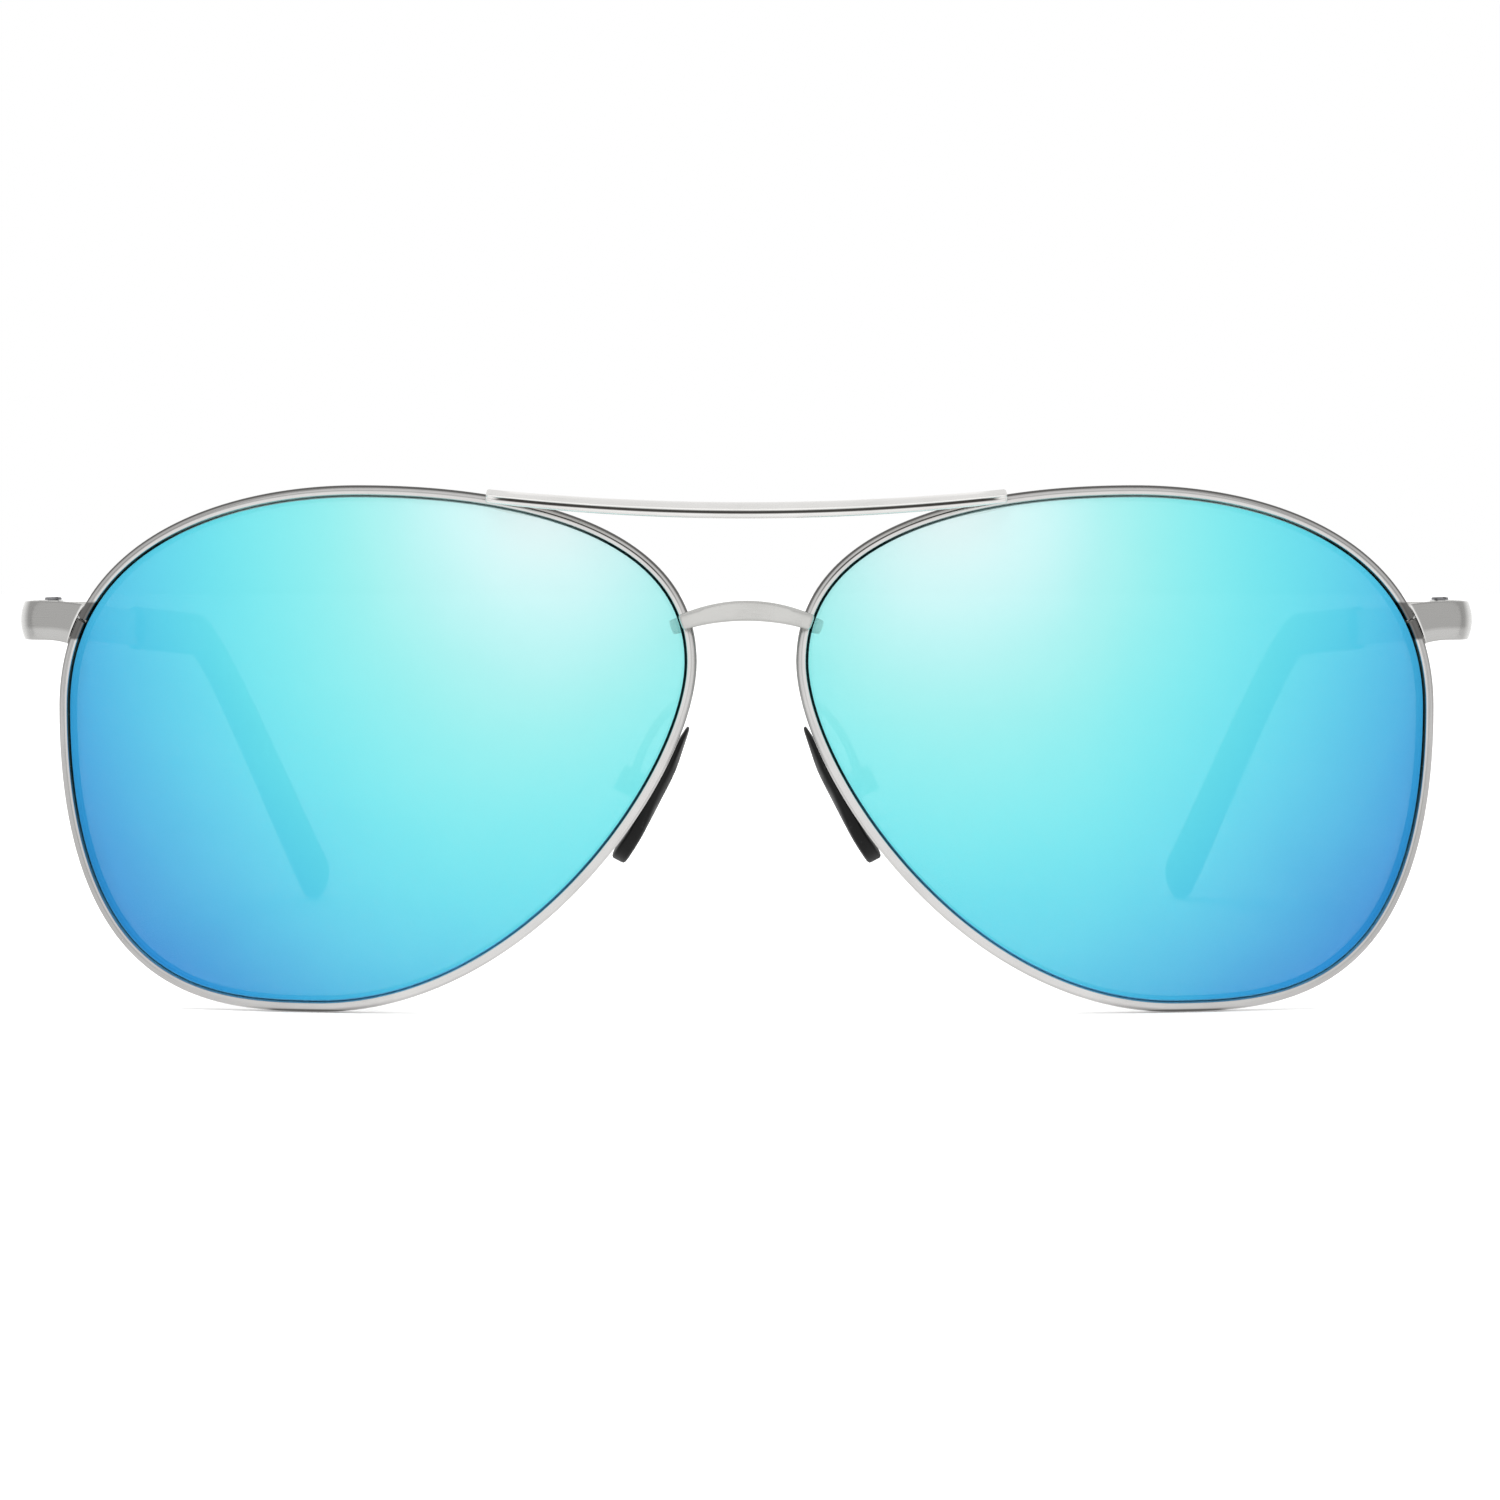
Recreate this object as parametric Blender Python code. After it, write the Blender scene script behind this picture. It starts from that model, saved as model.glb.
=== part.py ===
"""Metal aviator sunglasses, standing open on the bottoms of the rims and the ends of the temple tips.

Metres, +Z up. The front faces -Y, the temples run back along +Y, and the wearer's left side is +X.
The model is built in a design frame: X = 0 is the plane of symmetry, Y = 0 is the most forward
point of the middle of the lenses, and Z = 0 is below the lowest point of the rims. One empty then
carries everything to the centre of its footprint. Each side is drawn once, as the left one, and the
right one is its mirror image.
"""

import math

import bmesh
import bpy
import numpy as np
from mathutils import Matrix, Vector

MM = 0.001

# Lenses: the boxed size of the bevel's edge, the dome of the front and how the two are set.
LENS_WIDTH = 62.5 * MM
LENS_HEIGHT = 50.9 * MM
LENS_THICKNESS = 1.2 * MM
LENS_BEVEL = 0.56 * MM
BEVEL_SHORT_OF_EDGE = 0.03 * MM
BETWEEN_LENSES = 11.2 * MM
BASE_CURVE_RADIUS = 88.0 * MM
WRAP_ANGLE = math.radians(5.0)

# The outline in half-widths and half-heights of the lens, from its centre towards the temple and up.
# Each row is a point with a level or upright tangent, the handle that leads to it, and the next one.
LENS_OUTLINE = (
    ((0.05, 1.00), (-0.50, 0.00), (0.41, 0.00)),
    ((1.00, 0.16), (0.00, 0.65), (0.00, -1.15)),
    ((0.19, -1.00), (0.34, 0.00), (-0.68, 0.00)),
    ((-1.00, 0.34), (0.00, -0.42), (0.00, 0.52)),
)
EDGE_STEPS = 400
# The rings across each face of a lens, as shares of the way from its centre to its edge.
LENS_RINGS = (0.28, 0.58, 0.83)

# Rims: a grooved section, with the groove's bottom near the lens's edge.
RIM_DEPTH = 2.0 * MM
RIM_OUTSIDE = 0.55 * MM
RIM_LIP = 0.5 * MM
RIM_CHAMFER = 0.4 * MM
GROOVE_WIDTH = 0.7 * MM
GROOVE_CLEARANCE = 0.1 * MM
RIM_SPLIT = 0.3 * MM
RIM_STATIONS = 72

# Clearances between pieces: brazed faces, moving faces and a shaft in its bore.
BRAZE_GAP = 0.05 * MM
RUNNING_GAP = 0.05 * MM
BORE_CLEARANCE = 0.05 * MM

# A screw's head narrows to a share of its radius, from a share of its height upwards.
HEAD_TOP_SHARE = 0.8
HEAD_EDGE_SHARE = 0.6

# Brow bar and bridge, both over the front of the rims.
BROW_BAR_SPAN = 51.2 * MM
BROW_BAR_BELOW_TOP = 1.8 * MM
BROW_BAR_RISE = 1.45 * MM
BROW_BAR_TALL = 1.65 * MM
BROW_BAR_TALL_END = 1.35 * MM
BROW_BAR_THICKNESS = 1.3 * MM
BROW_BAR_BOW = 0.5 * MM
BRIDGE_OVERLAP = 0.65 * MM
BRIDGE_ABOVE_MIDDLE = 13.8 * MM
BRIDGE_DROP = 1.2 * MM
BRIDGE_TALL = 2.0 * MM
BRIDGE_TALL_END = 1.5 * MM
BRIDGE_THICKNESS = 1.2 * MM
BRIDGE_BOW = 0.6 * MM
BAR_STATIONS = 25
BAR_ROUNDING_SHARE = 0.3
BROW_BAR_SEARCH = 4 * MM

# End pieces, and the closing blocks that clamp each rim round its lens.
ENDPIECE_REACH = 4.5 * MM
ENDPIECE_ABOVE_MIDDLE = 12.7 * MM
ENDPIECE_TALL = 3.9 * MM
ENDPIECE_DIP = 0.4 * MM
STRIP_THICKNESS = 1.1 * MM
ENDPIECE_BEND_RADIUS = 2.5 * MM
ENDPIECE_BEND_STEPS = 6
ENDPIECE_LEVELS = 5
BLOCK_WIDTH = 2.4 * MM
BLOCK_DEPTH = 2.0 * MM
BLOCK_TALL = 1.7 * MM
BLOCK_OUTBOARD = 0.1 * MM
CLOSING_SCREW_RADIUS = 0.5 * MM
CLOSING_HEAD_RADIUS = 0.85 * MM
CLOSING_HEAD_TALL = 0.4 * MM

# Hinges: three barrels on an upright screw, inboard of the strips that they join.
HINGE_SETBACK = 6.3 * MM
HINGE_INBOARD = 2.6 * MM
HINGE_TALL = 3.9 * MM
OUTER_BARREL_TALL = 1.1 * MM
WASHER_THICKNESS = 0.15 * MM
BARREL_RADIUS = 1.0 * MM
HINGE_SCREW_RADIUS = 0.55 * MM
HINGE_HEAD_RADIUS = 0.85 * MM
HINGE_HEAD_TALL = 0.3 * MM
BUTT_GAP = 0.2 * MM
FRONT_LEAF_LENGTH = 3.4 * MM
TEMPLE_LEAF_LENGTH = 5.2 * MM
BARREL_STEP = 15
BARREL_ROUND_TO = 285
WEB_ANGLE = math.radians(75)
WEB_ROOT_SHARE = 0.6

# Temples: a flat strip, straight at the hinge, then leaning in, then bending down behind the ear.
TEMPLE_TALL = 3.9 * MM
TEMPLE_STRAIGHT = 7.5 * MM
TEMPLE_TO_BEND = 84.0 * MM
TEMPLE_LEAN = 5.0 * MM
TEMPLE_DROOP = 3.2 * MM
TIP_REACH_BACK = 40.0 * MM
TIP_REACH_IN = 11.2 * MM
TIP_DROP_ANGLE = math.radians(47.0)
BEND_HANDLE = 11.0 * MM
DROP_HANDLE = 20.0 * MM
TIP_FALL_INWARD = 0.25
TEMPLE_BLEND = 1.2 * MM
DROP_POINTS = 15
CLOSEST_STATIONS = 0.3 * MM
ROUND_END_ANGLES = (0, 25, 45, 62, 76, 86)
FLOOR_ROUNDS = 4
SLEEVE_START = 50.0 * MM
STRIP_SHOULDER = 0.2 * MM
SLEEVE_TALL = 4.9 * MM
SLEEVE_THICKNESS = 2.4 * MM
PADDLE_TALL = 6.4 * MM
PADDLE_THICKNESS = 2.8 * MM
CORE_TALL = 1.8 * MM
CORE_THICKNESS = 0.9 * MM
CORE_SHORT_OF_END = 14.0 * MM
STRIP_ROUNDING = 0.15 * MM
CAVITY_ROUNDING = 0.2 * MM

# Nose pads: silicone on an insert that rocks on a screw in the box at the end of a wire arm.
PAD_LENGTH = 15.2 * MM
PAD_WIDTH = 7.6 * MM
PAD_THICKNESS = 1.6 * MM
PAD_WIDER_BELOW = 0.12
PAD_SEGMENTS = 20
# The pad's layers: the size of each oval, and its depth as a share of the pad's thickness.
PAD_LAYERS = ((0.90, 0.0), (1.0, 0.25), (0.97, 0.5), (0.80, 0.80), (0.45, 0.96))
PAD_FLARE = math.radians(27.6)
PAD_FROM_LENS_EDGE = 4.3 * MM
PAD_BEHIND_APEX = 9.2 * MM
PAD_BELOW_MIDDLE = 4.4 * MM
INSERT_LENGTH = 6.0 * MM
INSERT_WIDTH = 3.2 * MM
INSERT_THICKNESS = 0.5 * MM
TAB_LENGTH = 1.7 * MM
TAB_THICKNESS = 0.9 * MM
TAB_REACH = 1.95 * MM
PAD_BOX_STANDOFF = 0.9 * MM
PAD_BOX_LENGTH = 2.6 * MM
PAD_BOX_WALL = 0.55 * MM
PAD_BOX_DEPTH = 2.35 * MM
PAD_PIVOT = 1.75 * MM
PAD_SCREW_RADIUS = 0.4 * MM
PAD_SCREW_HEAD_RADIUS = 0.75 * MM
PAD_SCREW_HEAD_TALL = 0.4 * MM
PAD_ARM_RADIUS = 0.45 * MM
PAD_ARM_FOOT_ABOVE_MIDDLE = 4.4 * MM
PAD_ARM_LEAVES_RIM = (0.6 * MM, 5.4 * MM, 0.6 * MM)
PAD_ARM_ABOVE_BOX = 4.6 * MM
PAD_ARM_BESIDE_BOX = 0.9 * MM
PAD_ARM_UP = (0.35, 0.0, 1.0)
PAD_ARM_POINTS = 15
PAD_ARM_SEGMENTS = 10

SEGMENTS = 16
SHARP_ANGLE = math.radians(35)
PIVOT_SIZE = 5 * MM

METAL = ((0.62, 0.62, 0.60), 0.22, 1.0)
SCREW_STEEL = ((0.42, 0.42, 0.42), 0.3, 1.0)
MIRROR_LENS = ((0.10, 0.62, 0.78), 0.05, 0.6)
BLACK_SILICONE = ((0.012, 0.012, 0.012), 0.5, 0.0)
BLACK_PLASTIC = ((0.02, 0.02, 0.022), 0.35, 0.0)
CLEAR_NYLON = ((0.75, 0.74, 0.70), 0.45, 0.0)

LENS_CENTRE_X = (BETWEEN_LENSES + LENS_WIDTH) / 2
LENS_CENTRE_Z = LENS_HEIGHT / 2 + RIM_OUTSIDE
DOME_CENTRE = np.array(
    (
        LENS_CENTRE_X - BASE_CURVE_RADIUS * math.sin(WRAP_ANGLE),
        BASE_CURVE_RADIUS,
        LENS_CENTRE_Z,
    )
)
STRIP_OUTER_X = BETWEEN_LENSES / 2 + LENS_WIDTH + RIM_OUTSIDE + ENDPIECE_REACH
STRIP_INNER_X = STRIP_OUTER_X - STRIP_THICKNESS
ENDPIECE_MIDDLE = LENS_CENTRE_Z + ENDPIECE_ABOVE_MIDDLE
BROW_BAR_HEIGHT = LENS_CENTRE_Z + LENS_HEIGHT / 2 - BROW_BAR_BELOW_TOP
BRIDGE_HEIGHT = LENS_CENTRE_Z + BRIDGE_ABOVE_MIDDLE
BRIDGE_SPAN = BETWEEN_LENSES + 2 * BRIDGE_OVERLAP
PAD_ARM_FOOT_HEIGHT = LENS_CENTRE_Z + PAD_ARM_FOOT_ABOVE_MIDDLE


# ---------------------------------------------------------------- curves


def cubic(start, start_handle, end_handle, end, count):
    """Points of a cubic Bezier curve at count equal steps of its parameter, both ends included."""
    t = np.linspace(0.0, 1.0, count)[:, None]
    return (
        (1 - t) ** 3 * start
        + 3 * (1 - t) ** 2 * t * start_handle
        + 3 * (1 - t) * t**2 * end_handle
        + t**3 * end
    )


def lens_edge():
    """The closed edge of the left lens as a dense polyline on the dome, in X, Y, Z."""
    half = np.array((LENS_WIDTH / 2, LENS_HEIGHT / 2))
    arcs = []
    for row, following in zip(LENS_OUTLINE, LENS_OUTLINE[1:] + LENS_OUTLINE[:1]):
        point, _, handle_out = (np.array(value) * half for value in row)
        next_point, handle_in, _ = (np.array(value) * half for value in following)
        arc = cubic(
            point, point + handle_out, next_point + handle_in, next_point, EDGE_STEPS + 1
        )
        arcs.append(arc[:-1])
    flat = np.concatenate(arcs) + (LENS_CENTRE_X, LENS_CENTRE_Z)
    return on_dome(flat[:, 0], flat[:, 1], 0.0)


def on_dome(x, z, forward):
    """The point at x, z on the dome that lies a distance forward of the middle of the lens."""
    radius = BASE_CURVE_RADIUS + forward
    inside = radius**2 - (x - DOME_CENTRE[0]) ** 2 - (z - DOME_CENTRE[2]) ** 2
    return np.stack([x, DOME_CENTRE[1] - np.sqrt(inside), z], axis=-1)


def rim_frames():
    """Stations round the lens's edge from one side of the rim's split to the other.

    Each has its point, its direction away from the lens and its direction to the front. They are
    equally spaced, and the split is on the temple's side at the middle of the end piece.
    """
    edge = lens_edge()
    steps = np.linalg.norm(np.roll(edge, -1, axis=0) - edge, axis=1)
    length = steps.sum()
    on_temple_side = edge[:, 0] > LENS_CENTRE_X
    away = np.where(on_temple_side, np.abs(edge[:, 2] - ENDPIECE_MIDDLE), np.inf)
    first = int(np.argmin(away))
    edge = np.roll(edge, -first, axis=0)
    along = np.concatenate([[0.0], np.cumsum(np.roll(steps, -first))])
    closed = np.vstack([edge, edge[:1]])
    wanted = np.linspace(RIM_SPLIT / 2, length - RIM_SPLIT / 2, RIM_STATIONS)
    point = np.stack([np.interp(wanted, along, closed[:, i]) for i in range(3)], axis=1)
    tangents = np.roll(edge, -1, axis=0) - np.roll(edge, 1, axis=0)
    tangents = np.vstack([tangents, tangents[:1]])
    tangent = np.stack([np.interp(wanted, along, tangents[:, i]) for i in range(3)], axis=1)
    tangent /= np.linalg.norm(tangent, axis=1)[:, None]
    forward = (point - DOME_CENTRE) / BASE_CURVE_RADIUS
    outward = np.cross(forward, tangent)
    outward /= np.linalg.norm(outward, axis=1)[:, None]
    return point, outward, forward


def rim_section():
    """The rim's section as (away from the lens, to the front) pairs, measured from the lens's edge."""
    half = RIM_DEPTH / 2
    groove = GROOVE_WIDTH / 2
    shoulder = RIM_OUTSIDE - RIM_CHAMFER
    side = half - RIM_CHAMFER
    front = [(-RIM_LIP, groove), (-RIM_LIP, half), (shoulder, half), (RIM_OUTSIDE, side)]
    back = [(away, -forward) for away, forward in reversed(front)]
    return front + back + [(GROOVE_CLEARANCE, 0.0)]


def rim_surface():
    """The rim's points, as an array of stations by section points by coordinates."""
    point, outward, forward = rim_frames()
    section = np.array(rim_section())
    return (
        point[:, None]
        + section[None, :, :1] * outward[:, None]
        + section[None, :, 1:] * forward[:, None]
    )


def rounded_rectangle(thickness, tall, radius):
    """Twelve points of an upright rectangle with its corners cut round: (across, up) pairs."""
    radius = min(radius, 0.499 * thickness, 0.499 * tall)
    points = []
    for quarter, (side, level) in enumerate(((1, 1), (-1, 1), (-1, -1), (1, -1))):
        for step in range(3):
            angle = math.pi / 2 * (quarter + step / 2)
            across = side * (thickness / 2 - radius) + radius * math.cos(angle)
            up = level * (tall / 2 - radius) + radius * math.sin(angle)
            points.append((across, up))
    return np.array(points)


def sweep(path, sections, up=(0.0, 0.0, 1.0)):
    """Carries one section per point along the path. Across is level, up is square to the path."""
    ahead = np.gradient(path, axis=0)
    ahead /= np.linalg.norm(ahead, axis=1)[:, None]
    across = np.cross(ahead, up)
    across /= np.linalg.norm(across, axis=1)[:, None]
    rise = np.cross(across, ahead)
    sections = np.asarray(sections)
    return path[:, None] + sections[..., :1] * across[:, None] + sections[..., 1:] * rise[:, None]


def circle(radius, count=SEGMENTS):
    angle = np.arange(count) * 2 * math.pi / count
    return radius * np.stack([np.cos(angle), np.sin(angle)], axis=1)


# ---------------------------------------------------------------- meshes


def loft(rings, ends="polygons"):
    """A closed body through rings of equal count. Its ends are polygons, strips of quads, or joined."""
    shape = bmesh.new()
    loops = [[shape.verts.new(point) for point in ring] for ring in rings]
    count = len(loops[0])
    pairs = list(zip(loops, loops[1:]))
    if ends == "joined":
        pairs.append((loops[-1], loops[0]))
    for near, far in pairs:
        for i in range(count):
            j = (i + 1) % count
            shape.faces.new((near[i], near[j], far[j], far[i]))
    if ends == "joined":
        return shape
    for loop in (loops[0], loops[-1]):
        if ends == "polygons":
            shape.faces.new(loop)
            continue
        for i in range(count // 2 - 1):
            shape.faces.new((loop[i], loop[i + 1], loop[count - 2 - i], loop[count - 1 - i]))
    return shape


def box(low, high):
    """A box between two corners."""
    shape = bmesh.new()
    bmesh.ops.create_cube(shape, size=1.0)
    low = Vector(low)
    high = Vector(high)
    for vert in shape.verts:
        vert.co = Vector((vert.co[i] + 0.5) * (high[i] - low[i]) + low[i] for i in range(3))
    return shape


def turned(profile, centre, axis="Z"):
    """A body turned about an upright or a front-to-back axis: profile is (radius, distance along)."""
    rings = []
    for radius, along in profile:
        ring = np.zeros((SEGMENTS, 3))
        if axis == "Z":
            ring[:, :2] = circle(radius)
            ring[:, 2] = along
        else:
            ring[:, (2, 0)] = circle(radius)
            ring[:, 1] = along
        rings.append(ring + centre)
    return loft(rings)


def drilled_prism(outer, bore, centre, bottom, top):
    """An upright prism of an outline round the centre, with an upright bore through it."""
    outer = np.array(outer)
    angle = np.arctan2(outer[:, 1], outer[:, 0])
    inner = bore * np.stack([np.cos(angle), np.sin(angle)], axis=1)
    rings = []
    for outline, height in ((outer, bottom), (outer, top), (inner, top), (inner, bottom)):
        ring = np.column_stack([outline, np.full(len(outline), height)])
        rings.append(ring + (centre[0], centre[1], 0.0))
    return loft(rings, ends="joined")


def drilled_block(width, depth, bore, centre, bottom, top):
    """A square block with an upright bore, its sides split so that the bore has equal steps."""
    sides = []
    for quarter in range(4):
        along = np.tan(math.pi / 4 * np.linspace(-1.0, 1.0, 5)[:-1])
        turn = math.pi / 2 * quarter
        sides.append(
            np.stack(
                [
                    np.cos(turn) - along * np.sin(turn),
                    np.sin(turn) + along * np.cos(turn),
                ],
                axis=1,
            )
        )
    outline = np.concatenate(sides) * (width / 2, depth / 2)
    return drilled_prism(outline, bore, centre, bottom, top)


# ---------------------------------------------------------------- objects

materials = {}


def material(name, look):
    """A plain metal, plastic or lens material, made once."""
    if name not in materials:
        colour, roughness, metallic = look
        made = bpy.data.materials.new(name)
        made.use_nodes = True
        shader = made.node_tree.nodes["Principled BSDF"]
        shader.inputs["Base Color"].default_value = (*colour, 1.0)
        shader.inputs["Roughness"].default_value = roughness
        shader.inputs["Metallic"].default_value = metallic
        made.diffuse_color = (*colour, 1.0)
        materials[name] = made
    return materials[name]


FINISHES = {
    "metal": METAL,
    "screw_steel": SCREW_STEEL,
    "mirror_lens": MIRROR_LENS,
    "black_silicone": BLACK_SILICONE,
    "black_plastic": BLACK_PLASTIC,
    "clear_nylon": CLEAR_NYLON,
}


def place(name, shape, side, finish, parent):
    """Makes the object of a left-hand shape, mirrored for the right-hand side, under its parent."""
    if side < 0:
        bmesh.ops.transform(shape, matrix=Matrix.Diagonal((-1, 1, 1, 1)), verts=shape.verts)
    bmesh.ops.recalc_face_normals(shape, faces=shape.faces)
    mesh = bpy.data.meshes.new(name)
    shape.to_mesh(mesh)
    shape.free()
    mesh.shade_smooth()
    mesh.set_sharp_from_angle(angle=SHARP_ANGLE)
    made = bpy.data.objects.new(name, mesh)
    made.data.materials.append(material(finish, FINISHES[finish]))
    bpy.context.collection.objects.link(made)
    made.parent = parent
    if parent:
        made.matrix_parent_inverse = Matrix.Translation(-Vector(parent_place(parent)))
    return made


def parent_place(empty):
    """Where an empty stands in the design frame."""
    return Vector(empty["design_place"])


def pivot_empty(name, where, parent):
    """An empty on a joint's axis, which carries the pieces that turn about it."""
    empty = bpy.data.objects.new(name, None)
    empty.empty_display_size = PIVOT_SIZE
    empty["design_place"] = tuple(float(value) for value in where)
    empty.location = where
    empty.parent = parent
    bpy.context.collection.objects.link(empty)
    return empty


def combine(target, shape, side, operation):
    """Joins a shape to an object or cuts it away, with a Boolean modifier and a hidden helper."""
    helper = place(f"{target.name}_{operation.lower()}", shape, side, "metal", target.parent)
    helper.hide_render = True
    helper.display_type = "WIRE"
    modifier = target.modifiers.new(operation.title(), "BOOLEAN")
    modifier.operation = operation
    modifier.solver = "EXACT"
    modifier.object = helper
    return target


# ---------------------------------------------------------------- fronts


def rim_shape():
    return loft(rim_surface())


def lens_shape():
    """A domed lens with a bevelled edge that stands in the rim's groove."""
    point, outward, forward = rim_frames()
    wall = -(RIM_LIP + BRAZE_GAP)
    bevel = LENS_BEVEL / 2
    half = LENS_THICKNESS / 2
    centre = np.array((LENS_CENTRE_X, LENS_CENTRE_Z))
    rings = []
    front_edge = point + wall * outward + half * forward
    back_edge = point + wall * outward - half * forward
    for share in LENS_RINGS:
        flat = centre + share * (front_edge[:, (0, 2)] - centre)
        rings.append(on_dome(flat[:, 0], flat[:, 1], half))
    rings.append(front_edge)
    rings.append(point + wall * outward + bevel * forward)
    rings.append(point - BEVEL_SHORT_OF_EDGE * outward)
    rings.append(point + wall * outward - bevel * forward)
    rings.append(back_edge)
    for share in reversed(LENS_RINGS):
        flat = centre + share * (back_edge[:, (0, 2)] - centre)
        rings.append(on_dome(flat[:, 0], flat[:, 1], -half))
    shape = loft(rings)
    ends = [face for face in shape.faces if len(face.verts) > 4]
    bmesh.ops.poke(shape, faces=ends)
    return shape


def bar_shape(span, height, lift, tall, tall_end, thickness, bow, back):
    """A bar across the front. Its height changes by lift from the middle to the ends.

    It bows forward by bow in the middle, tapers in height, and its back is nowhere behind back.
    """
    x = np.linspace(-span / 2, span / 2, BAR_STATIONS)
    share = (2 * x / span) ** 2
    path = np.stack([x, back - thickness / 2 - bow * (1 - share), height + lift * share], axis=1)
    rounding = BAR_ROUNDING_SHARE * thickness
    sections = [
        rounded_rectangle(thickness, tall + (tall_end - tall) * s, rounding) for s in share
    ]
    rings = sweep(path, sections)
    rings[:, :, 1] = np.minimum(rings[:, :, 1], back)
    return loft(rings)


def rim_front(reach, low):
    """The most forward point of the rims within reach of the middle and above low, along Y."""
    surface = rim_surface().reshape(-1, 3)
    near = (surface[:, 0] < reach + RIM_DEPTH) & (surface[:, 2] > low)
    return surface[near, 1].min()


def rim_side(heights):
    """How far out the rim reaches at each height, on the temple's side."""
    surface = rim_surface()
    stations = surface[surface[:, 0, 0] > LENS_CENTRE_X]
    outermost = stations[np.arange(len(stations)), stations[:, :, 0].argmax(axis=1)]
    outermost = outermost[np.argsort(outermost[:, 2])]
    return np.interp(heights, outermost[:, 2], outermost[:, 0])


def rim_back(low, high):
    """The furthest back that the rim comes between two heights, on the temple's side."""
    surface = rim_surface()
    level = surface[:, :, 2].mean(axis=1)
    near = (surface[:, 0, 0] > LENS_CENTRE_X) & (level > low - RIM_DEPTH) & (level < high + RIM_DEPTH)
    return surface[near, :, 1].max()


ENDPIECE_LOW = ENDPIECE_MIDDLE - ENDPIECE_TALL / 2
ENDPIECE_HIGH = ENDPIECE_MIDDLE + ENDPIECE_TALL / 2
ENDPIECE_BACK_Y = rim_back(ENDPIECE_LOW - ENDPIECE_DIP, ENDPIECE_HIGH)
ENDPIECE_FRONT_Y = ENDPIECE_BACK_Y - STRIP_THICKNESS
HINGE_X = STRIP_OUTER_X - HINGE_INBOARD
HINGE_Y = ENDPIECE_FRONT_Y + HINGE_SETBACK
HINGE_AXIS = np.array((HINGE_X, HINGE_Y, 0.0))


def endpiece_shape():
    """A strip from the rim outwards, round a bend and back to the hinge's butt face."""
    bend_x = STRIP_OUTER_X - ENDPIECE_BEND_RADIUS
    bend_y = ENDPIECE_FRONT_Y + ENDPIECE_BEND_RADIUS
    heights = np.linspace(ENDPIECE_LOW, ENDPIECE_HIGH, ENDPIECE_LEVELS)
    stations = [None]
    for step in range(ENDPIECE_BEND_STEPS + 1):
        turn = -math.pi / 2 + math.pi / 2 * step / ENDPIECE_BEND_STEPS
        stations.append((bend_x, bend_y, turn))
    stations.append((bend_x, HINGE_Y - BUTT_GAP / 2, 0.0))
    inner_radius = ENDPIECE_BEND_RADIUS - STRIP_THICKNESS
    rings = []
    for station in stations:
        ring = np.zeros((2 * ENDPIECE_LEVELS, 3))
        outer, inner = ring[:ENDPIECE_LEVELS], ring[ENDPIECE_LEVELS:]
        outer[:, 2] = heights
        inner[:, 2] = heights[::-1]
        if station is None:
            ring[:, 2] -= ENDPIECE_DIP
            end_x = rim_side(heights - ENDPIECE_DIP) + BRAZE_GAP
            outer[:, 0] = end_x
            inner[:, 0] = end_x[::-1]
            outer[:, 1] = ENDPIECE_FRONT_Y
            inner[:, 1] = ENDPIECE_BACK_Y
        else:
            x, y, turn = station
            outer[:, 0] = x + ENDPIECE_BEND_RADIUS * math.cos(turn)
            inner[:, 0] = x + inner_radius * math.cos(turn)
            outer[:, 1] = y + ENDPIECE_BEND_RADIUS * math.sin(turn)
            inner[:, 1] = y + inner_radius * math.sin(turn)
        rings.append(ring)
    return loft(rings, ends="quads")


def closing_block_centre():
    """The upright axis of the closing screw, behind the rim's split."""
    rim_x = rim_side(np.array([ENDPIECE_MIDDLE]))[0]
    return (rim_x + BLOCK_OUTBOARD, ENDPIECE_BACK_Y + BRAZE_GAP + BLOCK_DEPTH / 2)


def closing_block_shape(level):
    """The upper (+1) or the lower (-1) half of the closing block, drilled for its screw."""
    near = ENDPIECE_MIDDLE + level * RIM_SPLIT / 2
    far = near + level * BLOCK_TALL
    bore = CLOSING_SCREW_RADIUS + BORE_CLEARANCE
    centre = closing_block_centre()
    return drilled_block(BLOCK_WIDTH, BLOCK_DEPTH, bore, centre, min(near, far), max(near, far))


def closing_screw_shape():
    """A screw from below, with its head under the lower block."""
    under = ENDPIECE_MIDDLE - RIM_SPLIT / 2 - BLOCK_TALL - RUNNING_GAP
    over = ENDPIECE_MIDDLE + RIM_SPLIT / 2 + BLOCK_TALL
    profile = [
        (CLOSING_HEAD_RADIUS * HEAD_TOP_SHARE, under - CLOSING_HEAD_TALL),
        (CLOSING_HEAD_RADIUS, under - CLOSING_HEAD_TALL * HEAD_EDGE_SHARE),
        (CLOSING_HEAD_RADIUS, under),
        (CLOSING_SCREW_RADIUS, under),
        (CLOSING_SCREW_RADIUS, over),
    ]
    return turned(profile, (*closing_block_centre(), 0.0))


# ---------------------------------------------------------------- hinges

HINGE_LOW = ENDPIECE_MIDDLE - HINGE_TALL / 2
HINGE_HIGH = ENDPIECE_MIDDLE + HINGE_TALL / 2
MIDDLE_BARREL_LOW = HINGE_LOW + OUTER_BARREL_TALL + WASHER_THICKNESS + 2 * RUNNING_GAP
MIDDLE_BARREL_HIGH = HINGE_HIGH - OUTER_BARREL_TALL - WASHER_THICKNESS - 2 * RUNNING_GAP
LEAF_IN = HINGE_X + BARREL_RADIUS + RUNNING_GAP
LEAF_OUT = STRIP_INNER_X - BRAZE_GAP


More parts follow.
